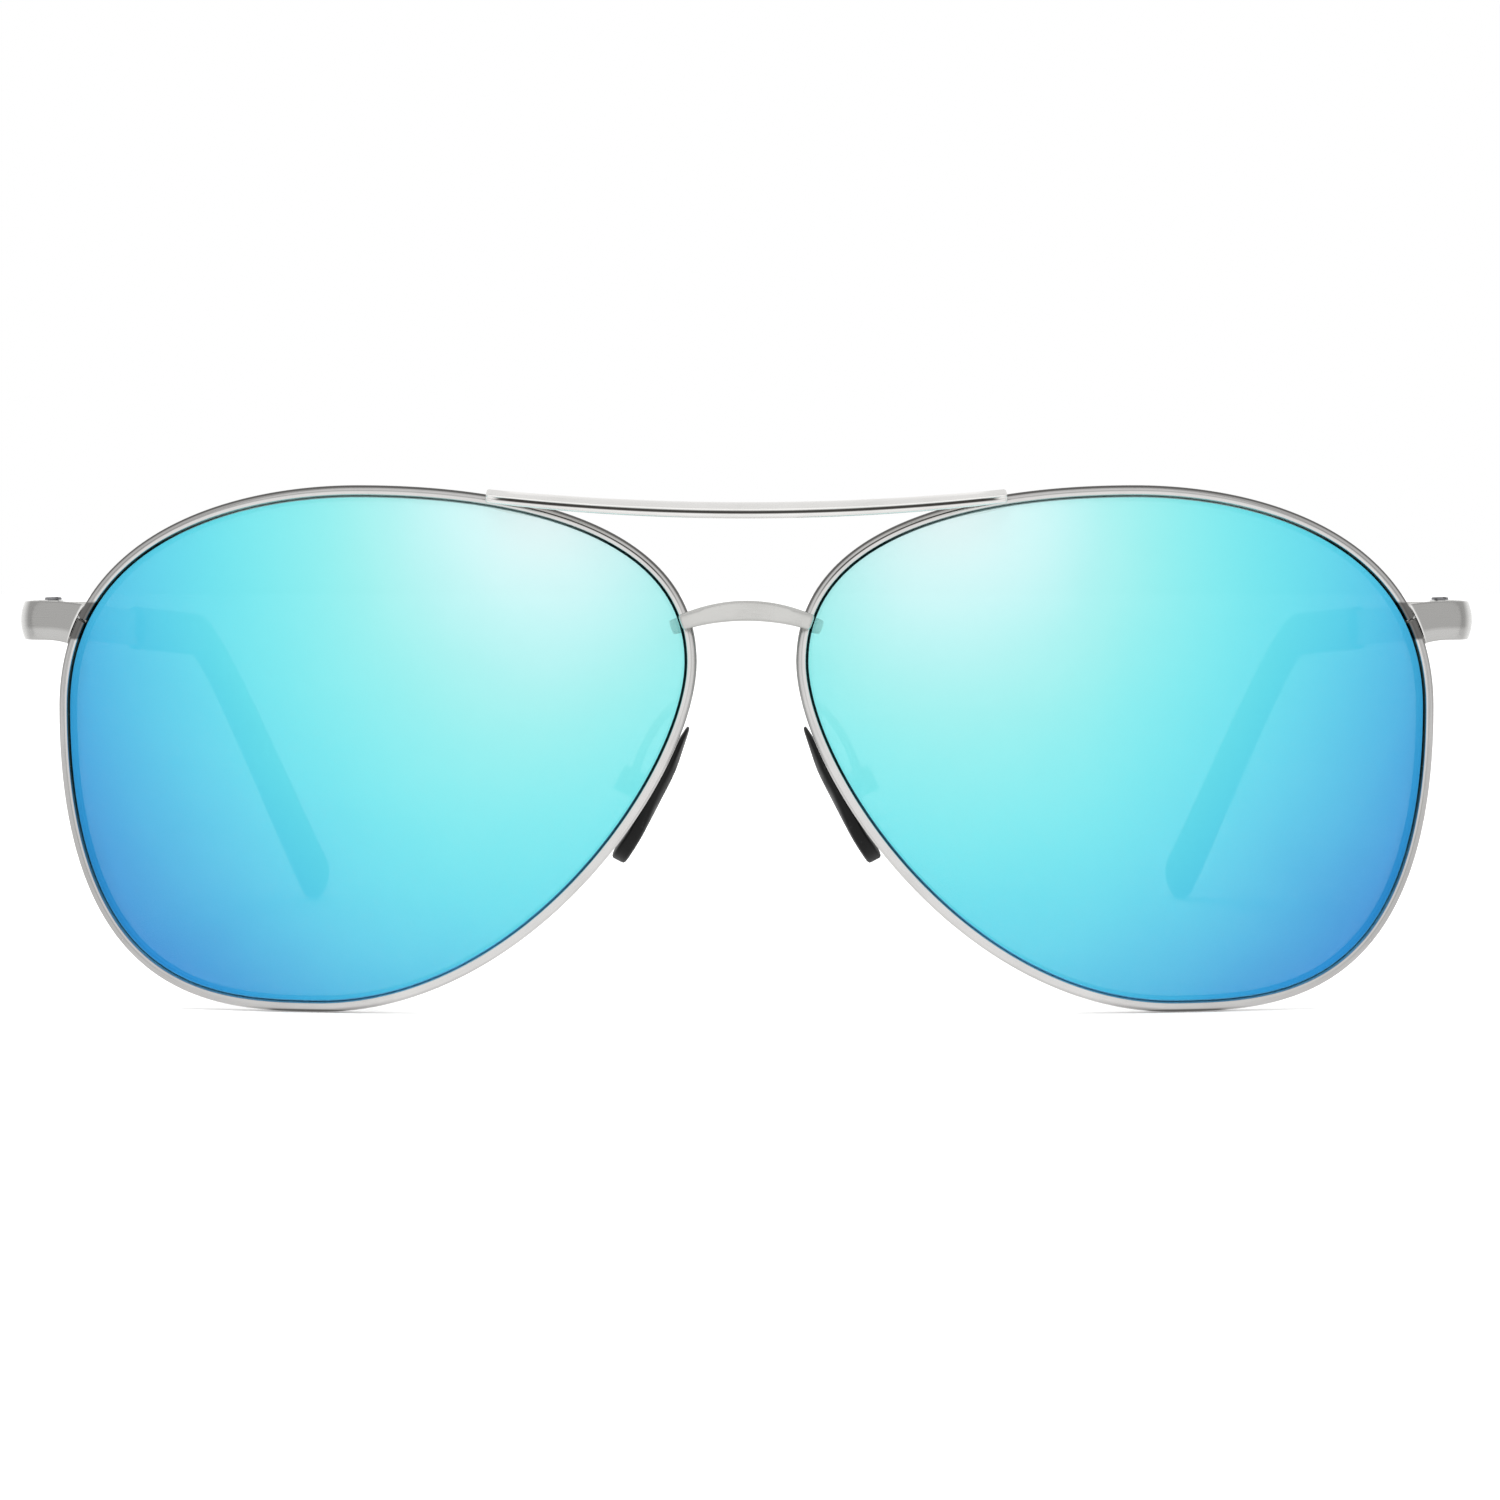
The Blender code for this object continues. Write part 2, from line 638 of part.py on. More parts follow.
def barrel_shape(bottom, top, towards):
    """One barrel of the hinge with the web that ties it to its leaf, on the front (-1) or back (+1)."""
    reach = (LEAF_IN + LEAF_OUT) / 2 - HINGE_X
    side = BARREL_RADIUS * math.sin(WEB_ANGLE)
    turn = np.radians(np.arange(0, BARREL_ROUND_TO + 1, BARREL_STEP))
    outline = [(BARREL_RADIUS * math.cos(a), BARREL_RADIUS * math.sin(a)) for a in turn]
    outline += [(WEB_ROOT_SHARE * reach, -side), (reach, -side)]
    outline += [(reach, -side / 2), (reach, -BUTT_GAP / 2)]
    outline = [(x, -towards * y) for x, y in outline]
    bore = HINGE_SCREW_RADIUS + BORE_CLEARANCE
    return drilled_prism(outline, bore, HINGE_AXIS, bottom, top)


def leaf_shape(towards, length):
    """The flat leaf brazed to the inside of the strip, on the front (-1) or the back (+1)."""
    near = HINGE_Y + towards * BUTT_GAP / 2
    far = HINGE_Y + towards * length
    return box((LEAF_IN, min(near, far), HINGE_LOW), (LEAF_OUT, max(near, far), HINGE_HIGH))


def washer_shape(bottom):
    bore = HINGE_SCREW_RADIUS + BORE_CLEARANCE
    radius = BARREL_RADIUS - RUNNING_GAP
    return drilled_prism(circle(radius), bore, HINGE_AXIS, bottom, bottom + WASHER_THICKNESS)


def hinge_screw_shape():
    """A screw from above, whose head stands on the upper barrel."""
    seat = HINGE_HIGH + RUNNING_GAP
    profile = [
        (HINGE_SCREW_RADIUS, HINGE_LOW),
        (HINGE_SCREW_RADIUS, seat),
        (HINGE_HEAD_RADIUS, seat),
        (HINGE_HEAD_RADIUS, seat + HINGE_HEAD_TALL * HEAD_EDGE_SHARE),
        (HINGE_HEAD_RADIUS * HEAD_TOP_SHARE, seat + HINGE_HEAD_TALL),
    ]
    return turned(profile, HINGE_AXIS)


# ---------------------------------------------------------------- temples


def temple_path(end_height):
    """The middle of the temple from the butt face to the end of the tip, whose height is given.

    Level and straight along the leaf, straight on with a lean and a droop, then one cubic curve
    down to the end.
    """
    x = STRIP_OUTER_X - STRIP_THICKNESS / 2
    start = np.array((x, HINGE_Y + BUTT_GAP / 2, ENDPIECE_MIDDLE))
    straight_end = start + (0.0, TEMPLE_STRAIGHT, 0.0)
    bend = start + (-TEMPLE_LEAN, TEMPLE_TO_BEND, -TEMPLE_DROOP)
    ahead = (bend - straight_end) / np.linalg.norm(bend - straight_end)
    end = np.array((bend[0] - TIP_REACH_IN, bend[1] + TIP_REACH_BACK, end_height))
    fall = np.array((-TIP_FALL_INWARD, math.cos(TIP_DROP_ANGLE), -math.sin(TIP_DROP_ANGLE)))
    drop = cubic(
        bend, bend + BEND_HANDLE * ahead, end - DROP_HANDLE * fall, end, DROP_POINTS
    )
    sleeve = straight_end + (bend - straight_end) * (SLEEVE_START - TEMPLE_STRAIGHT) / (
        TEMPLE_TO_BEND - TEMPLE_STRAIGHT
    )
    runs = [start, straight_end - (0.0, TEMPLE_BLEND, 0.0), straight_end + TEMPLE_BLEND * ahead]
    runs += [sleeve - STRIP_SHOULDER * ahead, sleeve, sleeve + TEMPLE_BLEND * ahead]
    runs += [(sleeve + bend) / 2]
    return np.vstack([runs, drop])


def along(path):
    """The distance along the path to each of its points."""
    return np.concatenate([[0.0], np.cumsum(np.linalg.norm(np.diff(path, axis=0), axis=1))])


def cut_path(path, low, high, extra=()):
    """The part of a path between two distances along it, with its points and some extra ones."""
    distance = along(path)
    after_low = distance > low + CLOSEST_STATIONS
    before_high = distance < high - CLOSEST_STATIONS
    inside = distance[after_low & before_high]
    wanted = np.unique(np.concatenate([[low], inside, [high], extra]))
    points = np.stack([np.interp(wanted, distance, path[:, i]) for i in range(3)], axis=1)
    return points, wanted


# The sleeve's start is this point of the temple's path.
SLEEVE_INDEX = 4


def temple_arm_shape(path):
    """The metal strip, which narrows to a core inside the sleeve."""
    distance = along(path)
    sleeve = distance[SLEEVE_INDEX]
    points, where = cut_path(path, 0.0, distance[-1] - CORE_SHORT_OF_END)
    strip = rounded_rectangle(STRIP_THICKNESS, TEMPLE_TALL, STRIP_ROUNDING)
    core = rounded_rectangle(CORE_THICKNESS, CORE_TALL, STRIP_ROUNDING)
    sections = [strip if at < sleeve - STRIP_SHOULDER / 2 else core for at in where]
    return loft(sweep(points, sections))


def tip_shape(path):
    """The sleeve over the core: an oval tube that grows to a paddle and closes in a round end."""
    distance = along(path)
    start = distance[SLEEVE_INDEX] + BRAZE_GAP
    end = distance[-1]
    round_end = PADDLE_TALL / 2
    rounding = end - round_end * (1 - np.sin(np.radians(ROUND_END_ANGLES)))
    points, where = cut_path(path, start, end - round_end, rounding)
    grown = np.clip((where - start) / (end - round_end - start), 0.0, 1.0) ** 2
    tall = SLEEVE_TALL + (PADDLE_TALL - SLEEVE_TALL) * grown
    thick = SLEEVE_THICKNESS + (PADDLE_THICKNESS - SLEEVE_THICKNESS) * grown
    closing = np.clip((where - (end - round_end)) / round_end, 0.0, 1.0)
    scale = np.sqrt(1 - closing**2)
    outer = [rounded_rectangle(a * s, b * s, a * s / 2) for a, b, s in zip(thick, tall, scale)]
    core_end = end - CORE_SHORT_OF_END + 2 * BRAZE_GAP
    inner_points, _ = cut_path(path, start, core_end)
    around = 4 * BRAZE_GAP
    cavity = rounded_rectangle(CORE_THICKNESS + around, CORE_TALL + around, CAVITY_ROUNDING)
    outer_rings = sweep(points, outer)
    inner_rings = sweep(inner_points, [cavity] * len(inner_points))
    return loft([*reversed(outer_rings), *inner_rings])


def solved_temple_path(floor):
    """The path whose tip stands on the floor, found by moving its end by what it misses."""
    end_height = floor + PADDLE_TALL / 2
    for _ in range(FLOOR_ROUNDS):
        path = temple_path(end_height)
        shape = tip_shape(path)
        lowest = min(vert.co.z for vert in shape.verts)
        shape.free()
        end_height += floor - lowest
    return path


# ---------------------------------------------------------------- nose pads

PAD_DOWN = np.array((math.sin(PAD_FLARE), 0.0, -math.cos(PAD_FLARE)))
PAD_OUT = np.array((math.cos(PAD_FLARE), 0.0, math.sin(PAD_FLARE)))
PAD_BACK = np.array(
    (
        BETWEEN_LENSES / 2 + PAD_FROM_LENS_EDGE,
        PAD_BEHIND_APEX,
        LENS_CENTRE_Z - PAD_BELOW_MIDDLE,
    )
)
PAD_AXIS = PAD_BACK + PAD_PIVOT * PAD_OUT


def pad_frame(points):
    """Takes (out to the lens, back, down) triples from the middle of the pad's back to the model."""
    points = np.asarray(points, float)
    return (
        PAD_BACK
        + points[..., 0:1] * PAD_OUT
        + points[..., 1:2] * np.array((0.0, 1.0, 0.0))
        + points[..., 2:3] * PAD_DOWN
    )


def in_pad_frame(shape):
    """Moves a shape that was drawn in the pad's own frame to its place."""
    for vert in shape.verts:
        vert.co = Vector(pad_frame(vert.co))
    return shape


def nose_pad_shape():
    """A soft pad with a flat back and a domed face: ovals that grow and shrink through its thickness."""
    angle = np.arange(PAD_SEGMENTS) * 2 * math.pi / PAD_SEGMENTS
    oval = np.stack([np.cos(angle) * PAD_WIDTH / 2, np.sin(angle) * PAD_LENGTH / 2], axis=1)
    oval[:, 0] *= 1 + PAD_WIDER_BELOW * np.sin(angle)
    rings = []
    for size, depth in PAD_LAYERS:
        ring = np.zeros((PAD_SEGMENTS, 3))
        ring[:, 0] = -depth * PAD_THICKNESS
        ring[:, 1:] = oval * size
        rings.append(pad_frame(ring))
    shape = loft(rings)
    bmesh.ops.poke(shape, faces=[face for face in shape.faces if len(face.verts) > 4])
    return shape


def add_pad_insert(name, side, parent):
    """A plate on the pad's back with a drilled tab that stands in the box."""
    near = BRAZE_GAP
    plate = box(
        (near, -INSERT_WIDTH / 2, -INSERT_LENGTH / 2),
        (near + INSERT_THICKNESS, INSERT_WIDTH / 2, INSERT_LENGTH / 2),
    )
    tab = box(
        (near + INSERT_THICKNESS / 2, -TAB_THICKNESS / 2, -TAB_LENGTH / 2),
        (near + INSERT_THICKNESS + TAB_REACH, TAB_THICKNESS / 2, TAB_LENGTH / 2),
    )
    insert = place(name, in_pad_frame(plate), side, "screw_steel", parent)
    combine(insert, in_pad_frame(tab), side, "UNION")
    bore = PAD_SCREW_RADIUS + BORE_CLEARANCE
    drill = turned([(bore, -TAB_THICKNESS), (bore, TAB_THICKNESS)], PAD_AXIS, axis="Y")
    return combine(insert, drill, side, "DIFFERENCE")


PAD_BOX_HALF_WIDTH = TAB_THICKNESS / 2 + 2 * RUNNING_GAP + PAD_BOX_WALL


def add_pad_box(name, side, parent):
    """A channel that holds the tab between two walls, drilled for the screw."""
    inside = PAD_BOX_HALF_WIDTH - PAD_BOX_WALL
    mouth = PAD_BOX_STANDOFF
    floor = mouth + PAD_BOX_DEPTH - PAD_BOX_WALL
    far = mouth + PAD_BOX_DEPTH
    half = PAD_BOX_HALF_WIDTH
    profile = [(far, -half), (far, half), (mouth, half), (mouth, inside)]
    profile += [(floor, inside), (floor, -inside), (mouth, -inside), (mouth, -half)]
    rings = []
    for down in (-PAD_BOX_LENGTH / 2, PAD_BOX_LENGTH / 2):
        rings.append(pad_frame([(out, back, down) for out, back in profile]))
    pad_box = place(name, loft(rings), side, "metal", parent)
    bore = PAD_SCREW_RADIUS + BORE_CLEARANCE
    drill = turned([(bore, -2 * half), (bore, 2 * half)], PAD_AXIS, axis="Y")
    return combine(pad_box, drill, side, "DIFFERENCE")


def pad_screw_shape():
    """A screw from behind, across the box."""
    seat = PAD_BOX_HALF_WIDTH + RUNNING_GAP
    profile = [
        (PAD_SCREW_RADIUS, -PAD_BOX_HALF_WIDTH),
        (PAD_SCREW_RADIUS, seat),
        (PAD_SCREW_HEAD_RADIUS, seat),
        (PAD_SCREW_HEAD_RADIUS, seat + PAD_SCREW_HEAD_TALL * HEAD_EDGE_SHARE),
        (PAD_SCREW_HEAD_RADIUS * HEAD_TOP_SHARE, seat + PAD_SCREW_HEAD_TALL),
    ]
    return turned(profile, PAD_AXIS, axis="Y")


def pad_arm_shape():
    """A round wire from the back of the rim, back and round, down to the end of the box."""
    surface = rim_surface()
    level = surface[:, :, 2].mean(axis=1)
    away = np.where(surface[:, 0, 0] < LENS_CENTRE_X, np.abs(level - PAD_ARM_FOOT_HEIGHT), np.inf)
    station = surface[int(np.argmin(away))]
    near_foot = away < 3 * PAD_ARM_RADIUS
    rim_behind = surface[near_foot, :, 1].max()
    foot = np.array((station[:, 0].mean(), rim_behind + BRAZE_GAP, PAD_ARM_FOOT_HEIGHT))
    top = pad_frame(
        (PAD_BOX_STANDOFF + PAD_BOX_DEPTH / 2, 0.0, -PAD_BOX_LENGTH / 2 - BRAZE_GAP)
    )
    leaves = foot + np.array(PAD_ARM_LEAVES_RIM)
    enters = top - PAD_ARM_ABOVE_BOX * PAD_DOWN + PAD_ARM_BESIDE_BOX * PAD_OUT
    path = cubic(foot, leaves, enters, top, PAD_ARM_POINTS)
    wire = circle(PAD_ARM_RADIUS, PAD_ARM_SEGMENTS)
    rings = sweep(path, [wire] * len(path), up=PAD_ARM_UP)
    rings[0, :, 1] = foot[1]
    rings[-1] -= ((rings[-1] - top) @ PAD_DOWN)[:, None] * PAD_DOWN
    return loft(rings)


# ---------------------------------------------------------------- assembly


def build_side(name, side, origin, path):
    """All the pieces of one side, with the wearer's left as side +1 and the right as side -1."""
    mirrored = np.array((side, 1.0, 1.0))
    pivot = pivot_empty(f"{name}_temple_pivot", HINGE_AXIS * mirrored, origin)
    rocker = pivot_empty(f"{name}_pad_pivot", PAD_AXIS * mirrored, origin)

    place(f"{name}_rim", rim_shape(), side, "metal", origin)
    place(f"{name}_lens", lens_shape(), side, "mirror_lens", origin)
    place(f"{name}_endpiece", endpiece_shape(), side, "metal", origin)
    place(f"{name}_closing_block_upper", closing_block_shape(1), side, "metal", origin)
    place(f"{name}_closing_block_lower", closing_block_shape(-1), side, "metal", origin)
    place(f"{name}_closing_screw", closing_screw_shape(), side, "screw_steel", origin)

    place(f"{name}_pad_arm", pad_arm_shape(), side, "metal", origin)
    add_pad_box(f"{name}_pad_box", side, origin)
    place(f"{name}_pad_screw", pad_screw_shape(), side, "screw_steel", origin)
    add_pad_insert(f"{name}_pad_insert", side, rocker)
    place(f"{name}_nose_pad", nose_pad_shape(), side, "black_silicone", rocker)

    front_leaf = place(
        f"{name}_hinge_front", leaf_shape(-1, FRONT_LEAF_LENGTH), side, "metal", origin
    )
    upper_low = HINGE_HIGH - OUTER_BARREL_TALL
    lower_high = HINGE_LOW + OUTER_BARREL_TALL
    combine(front_leaf, barrel_shape(upper_low, HINGE_HIGH, -1), side, "UNION")
    combine(front_leaf, barrel_shape(HINGE_LOW, lower_high, -1), side, "UNION")
    temple_leaf = place(
        f"{name}_hinge_temple", leaf_shape(1, TEMPLE_LEAF_LENGTH), side, "metal", pivot
    )
    combine(temple_leaf, barrel_shape(MIDDLE_BARREL_LOW, MIDDLE_BARREL_HIGH, 1), side, "UNION")
    place(f"{name}_hinge_screw", hinge_screw_shape(), side, "screw_steel", origin)
    washers = (
        ("upper", upper_low - RUNNING_GAP - WASHER_THICKNESS),
        ("lower", lower_high + RUNNING_GAP),
    )
    for level, bottom in washers:
        place(f"{name}_hinge_washer_{level}", washer_shape(bottom), side, "clear_nylon", origin)

    place(f"{name}_temple_arm", temple_arm_shape(path), side, "metal", pivot)
    place(f"{name}_temple_tip", tip_shape(path), side, "black_plastic", pivot)


def main():
    for old in list(bpy.data.objects):
        bpy.data.objects.remove(old, do_unlink=True)

    origin = pivot_empty("sunglasses_origin", (0.0, 0.0, 0.0), None)
    floor = rim_surface()[:, :, 2].min()
    path = solved_temple_path(floor)

    brow_back = rim_front(BROW_BAR_SPAN / 2, BROW_BAR_HEIGHT - BROW_BAR_SEARCH) - BRAZE_GAP
    brow_bar = bar_shape(
        BROW_BAR_SPAN,
        BROW_BAR_HEIGHT,
        BROW_BAR_RISE,
        BROW_BAR_TALL,
        BROW_BAR_TALL_END,
        BROW_BAR_THICKNESS,
        BROW_BAR_BOW,
        brow_back,
    )
    place("brow_bar", brow_bar, 1, "metal", origin)
    bridge_back = rim_front(BRIDGE_SPAN / 2, 0.0) - BRAZE_GAP
    bridge = bar_shape(
        BRIDGE_SPAN,
        BRIDGE_HEIGHT,
        -BRIDGE_DROP,
        BRIDGE_TALL,
        BRIDGE_TALL_END,
        BRIDGE_THICKNESS,
        BRIDGE_BOW,
        bridge_back,
    )
    place("bridge", bridge, 1, "metal", origin)
    for name, side in (("left", 1), ("right", -1)):
        build_side(name, side, origin, path)

    tip_end = max(vert.co.y for vert in bpy.data.objects["left_temple_tip"].data.vertices)
    front = min(vert.co.y for vert in bpy.data.objects["left_lens"].data.vertices)
    origin.location = (0.0, -(front + tip_end) / 2, -floor)


main()
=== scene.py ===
import functools
import math

import bmesh
import bpy
import numpy as np
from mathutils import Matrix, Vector


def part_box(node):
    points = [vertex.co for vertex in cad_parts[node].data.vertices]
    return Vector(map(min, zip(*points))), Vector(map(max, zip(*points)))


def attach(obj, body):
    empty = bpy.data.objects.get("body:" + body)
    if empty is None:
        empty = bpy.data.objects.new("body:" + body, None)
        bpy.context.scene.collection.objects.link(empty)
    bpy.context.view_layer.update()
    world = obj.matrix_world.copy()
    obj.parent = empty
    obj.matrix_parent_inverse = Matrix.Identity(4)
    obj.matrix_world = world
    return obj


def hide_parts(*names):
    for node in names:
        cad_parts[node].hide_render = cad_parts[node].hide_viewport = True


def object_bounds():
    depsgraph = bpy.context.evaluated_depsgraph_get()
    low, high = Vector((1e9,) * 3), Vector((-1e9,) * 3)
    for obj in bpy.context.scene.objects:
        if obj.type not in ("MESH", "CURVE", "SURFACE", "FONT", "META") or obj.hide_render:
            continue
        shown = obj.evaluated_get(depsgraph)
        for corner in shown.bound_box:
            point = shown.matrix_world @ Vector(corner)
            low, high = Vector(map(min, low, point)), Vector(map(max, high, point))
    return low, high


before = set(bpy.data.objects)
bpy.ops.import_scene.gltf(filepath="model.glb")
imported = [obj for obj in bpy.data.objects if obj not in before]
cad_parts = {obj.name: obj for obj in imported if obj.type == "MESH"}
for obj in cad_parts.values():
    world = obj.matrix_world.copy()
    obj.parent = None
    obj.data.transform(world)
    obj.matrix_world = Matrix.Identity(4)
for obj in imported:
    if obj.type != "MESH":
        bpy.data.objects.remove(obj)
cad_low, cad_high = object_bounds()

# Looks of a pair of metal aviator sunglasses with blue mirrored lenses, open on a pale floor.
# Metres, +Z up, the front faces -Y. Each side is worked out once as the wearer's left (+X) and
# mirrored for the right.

MM = 0.001

# ---- sizes that the pieces share ----

LENS_WIDTH = 62.5 * MM
LENS_HEIGHT = 50.9 * MM
LENS_THICKNESS = 1.2 * MM
BETWEEN_LENSES = 11.2 * MM
BASE_CURVE_RADIUS = 88.0 * MM
WRAP_ANGLE = math.radians(5.0)
HINGE_ABOVE_LENS_MIDDLE = 12.7 * MM

# The lens's outline, in half-widths and half-heights: a point, then its handles before and after.
LENS_OUTLINE = (
    ((0.05, 1.00), (-0.50, 0.00), (0.41, 0.00)),
    ((1.00, 0.16), (0.00, 0.65), (0.00, -1.15)),
    ((0.19, -1.00), (0.34, 0.00), (-0.68, 0.00)),
    ((-1.00, 0.34), (0.00, -0.42), (0.00, 0.52)),
)

RIM_DEPTH = 2.0 * MM
RIM_OUTSIDE = 0.55 * MM
RIM_LIP = 0.5 * MM
GROOVE_CLEARANCE = 0.1 * MM
RIM_CREASE = -0.10 * MM
RIM_SPLIT = 0.3 * MM
FOOT_X = 43.6 * MM
SEAM = 0.05 * MM

STRIP_THICKNESS = 1.1 * MM
STRIP_TALL = 3.9 * MM


def box_of(node):
    """The lowest and highest corners of a CAD node, as arrays."""
    low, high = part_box(node)
    return np.array(low), np.array(high)


HINGE_LOW, HINGE_HIGH = (corner[2] for corner in box_of("left_hinge_front"))
HINGE_MIDDLE = (HINGE_LOW + HINGE_HIGH) / 2
LENS_CENTRE_X = (BETWEEN_LENSES + LENS_WIDTH) / 2
LENS_CENTRE_Z = HINGE_MIDDLE - HINGE_ABOVE_LENS_MIDDLE
DOME_X = LENS_CENTRE_X - BASE_CURVE_RADIUS * math.sin(WRAP_ANGLE)
LENS_APEX_Y = cad_low[1] + LENS_THICKNESS / 2
DOME_CENTRE = np.array((DOME_X, LENS_APEX_Y + BASE_CURVE_RADIUS, LENS_CENTRE_Z))


# ---- curves ----


def cubic(start, start_handle, end_handle, end, count):
    """A cubic Bezier curve: (1-t)^3 P + 3(1-t)^2 t Q + 3(1-t)t^2 R + t^3 S at equal steps of t."""
    t = np.linspace(0.0, 1.0, count)[:, None]
    return (
        (1 - t) ** 3 * start
        + 3 * (1 - t) ** 2 * t * start_handle
        + 3 * (1 - t) * t**2 * end_handle
        + t**3 * end
    )


def unit(vectors):
    """Rows scaled to length 1."""
    return vectors / np.linalg.norm(vectors, axis=1)[:, None]


def read_at(wanted, distance, table):
    """Each column of a table that is laid out by distance, read at wanted distances."""
    return np.stack([np.interp(wanted, distance, column) for column in table.T], axis=1)


def on_dome(x, z, forward=0.0):
    """The lens's sphere: y is its centre's y less the root of (R + forward)^2 - dx^2 - dz^2."""
    radius = BASE_CURVE_RADIUS + forward
    inside = radius**2 - (x - DOME_CENTRE[0]) ** 2 - (z - DOME_CENTRE[2]) ** 2
    return np.stack([x, DOME_CENTRE[1] - np.sqrt(inside), z], axis=-1)


def lens_edge():
    """The left lens's edge: four cubic arcs in the outline's half sizes, laid on the dome."""
    half = np.array((LENS_WIDTH / 2, LENS_HEIGHT / 2))
    rows = np.array(LENS_OUTLINE) * half
    ahead = np.roll(rows, -1, axis=0)
    arcs = [
        cubic(row[0], row[0] + row[2], following[0] + following[1], following[0], 801)[:-1]
        for row, following in zip(rows, ahead)
    ]
    flat = np.concatenate(arcs) + (LENS_CENTRE_X, LENS_CENTRE_Z)
    return on_dome(flat[:, 0], flat[:, 1])


def rim_stations(count):
    """Equal steps round the lens's edge from one side of the rim's split to the other.

    Returns each station's point, its direction away from the lens, the cross product of forward
    and the tangent, and its direction to the front, along the dome's radius.
    """
    edge = lens_edge()
    beside = np.where(edge[:, 0] > LENS_CENTRE_X, np.abs(edge[:, 2] - HINGE_MIDDLE), np.inf)
    edge = np.roll(edge, -int(np.argmin(beside)), axis=0)
    steps = np.linalg.norm(np.roll(edge, -1, axis=0) - edge, axis=1)
    distance = np.concatenate([[0.0], np.cumsum(steps)])
    wanted = np.linspace(RIM_SPLIT / 2, distance[-1] - RIM_SPLIT / 2, count)
    tangents = np.roll(edge, -1, axis=0) - np.roll(edge, 1, axis=0)
    point = read_at(wanted, distance, np.vstack([edge, edge[:1]]))
    tangent = unit(read_at(wanted, distance, np.vstack([tangents, tangents[:1]])))
    forward = (point - DOME_CENTRE) / BASE_CURVE_RADIUS
    return point, unit(np.cross(forward, tangent)), forward


def filleted(corners, radius, steps=3):
    """A polygon with each corner C rounded by (1-t)^2 A + 2(1-t)t C + t^2 B.

    A and B lie on the two sides, radius away from C. One radius serves all corners, or one each.
    """
    corners = np.asarray(corners, float)
    radius = np.broadcast_to(radius, len(corners))[:, None]

    def towards(step):
        """The points a radius from the corners, on the sides to the neighbours step away."""
        side = np.roll(corners, step, axis=0) - corners
        length = np.linalg.norm(side, axis=1)[:, None]
        return corners + side / length * np.minimum(radius, 0.49 * length)

    a, b = towards(1), towards(-1)
    t = np.linspace(0.0, 1.0, steps + 1)[:, None, None]
    rounded = (1 - t) ** 2 * a + 2 * (1 - t) * t * corners + t**2 * b
    return rounded.transpose(1, 0, 2).reshape(-1, 2)


def sweep(path, sections, up=(0.0, 0.0, 1.0)):
    """Carries (across, up) sections along a path: P + across * A + up * U.

    A is level and square to the path, ahead crossed with up, and U is A crossed with ahead.
    """
    ahead = unit(np.gradient(path, axis=0))
    across = unit(np.cross(ahead, up))
    rise = np.cross(across, ahead)
    sections = np.broadcast_to(sections, (len(path), *np.shape(sections)[-2:]))
    return path[:, None] + sections[..., :1] * across[:, None] + sections[..., 1:] * rise[:, None]


def length_along(path):
    """The distance along a path to each of its points."""
    return np.concatenate([[0.0], np.cumsum(np.linalg.norm(np.diff(path, axis=0), axis=1))])


# ---- shells and pieces ----


def shell(rings, sections=None, joined=False, bands=None):
    """A closed shell through rings of equal count: quads between them, and a fan over each end.

    The last ring meets the first where joined. bands gives a material number to each row of
    quads. The grain is the distance along the rings, then the place in the section, in mm.
    """
    rings = np.asarray(rings, float)
    rows, columns = rings.shape[:2]
    i, j = np.meshgrid(np.arange(rows if joined else rows - 1), np.arange(columns), indexing="ij")
    i_next = (i + 1) % rows
    j_next = (j + 1) % columns
    corners = ((i, j), (i, j_next), (i_next, j_next), (i_next, j))
    quads = np.stack([a * columns + b for a, b in corners], axis=-1).reshape(-1, 4)
    numbers = np.repeat(np.zeros(len(i), int) if bands is None else np.asarray(bands), columns)
    centres = rings.mean(axis=1)
    local = rings - centres[:, None]
    level = np.linalg.norm(local[..., :2], axis=-1) * np.sign(local[..., 0] + local[..., 1])
    if sections is not None:
        sections = np.broadcast_to(sections, (rows, columns, 2))
        level, local = sections[..., 0], sections[..., 1:].repeat(3, axis=-1)
    travelled = np.broadcast_to(length_along(centres)[:, None], (rows, columns))
    grain = np.stack([travelled, level, local[..., 2]], axis=-1).reshape(-1, 3)
    points = rings.reshape(-1, 3)
    fans = np.zeros((0, 3), int)
    if not joined:
        around = np.arange(columns)
        following = (around + 1) % columns
        first = np.stack([np.full(columns, len(points)), following, around], axis=-1)
        last_ring = (rows - 1) * columns
        last = np.stack(
            [np.full(columns, len(points) + 1), last_ring + around, last_ring + following], axis=-1
        )
        fans = np.concatenate([first, last])
        points = np.vstack([points, centres[0], centres[-1]])
        grain = np.vstack([grain, grain[:columns].mean(axis=0), grain[-columns:].mean(axis=0)])
        numbers = np.concatenate([numbers, np.repeat(numbers[[0, -1]], columns)])
    return points, quads, fans, numbers, grain


def turned_outward(points, quads, fans):
    """The faces, all reversed if the volume they enclose, the sum of a.(b x c) / 6, is negative."""
    triangles = np.concatenate([quads[:, [0, 1, 2]], quads[:, [0, 2, 3]], fans])
    a, b, c = (points[triangles[:, k]] for k in range(3))
    if np.einsum("ij,ij->i", a, np.cross(b, c)).sum() < 0:
        return quads[:, ::-1], fans[:, ::-1]
    return quads, fans


# Edges that turn by more than this many degrees are drawn sharp.
PIECE_SHARP = 38.0


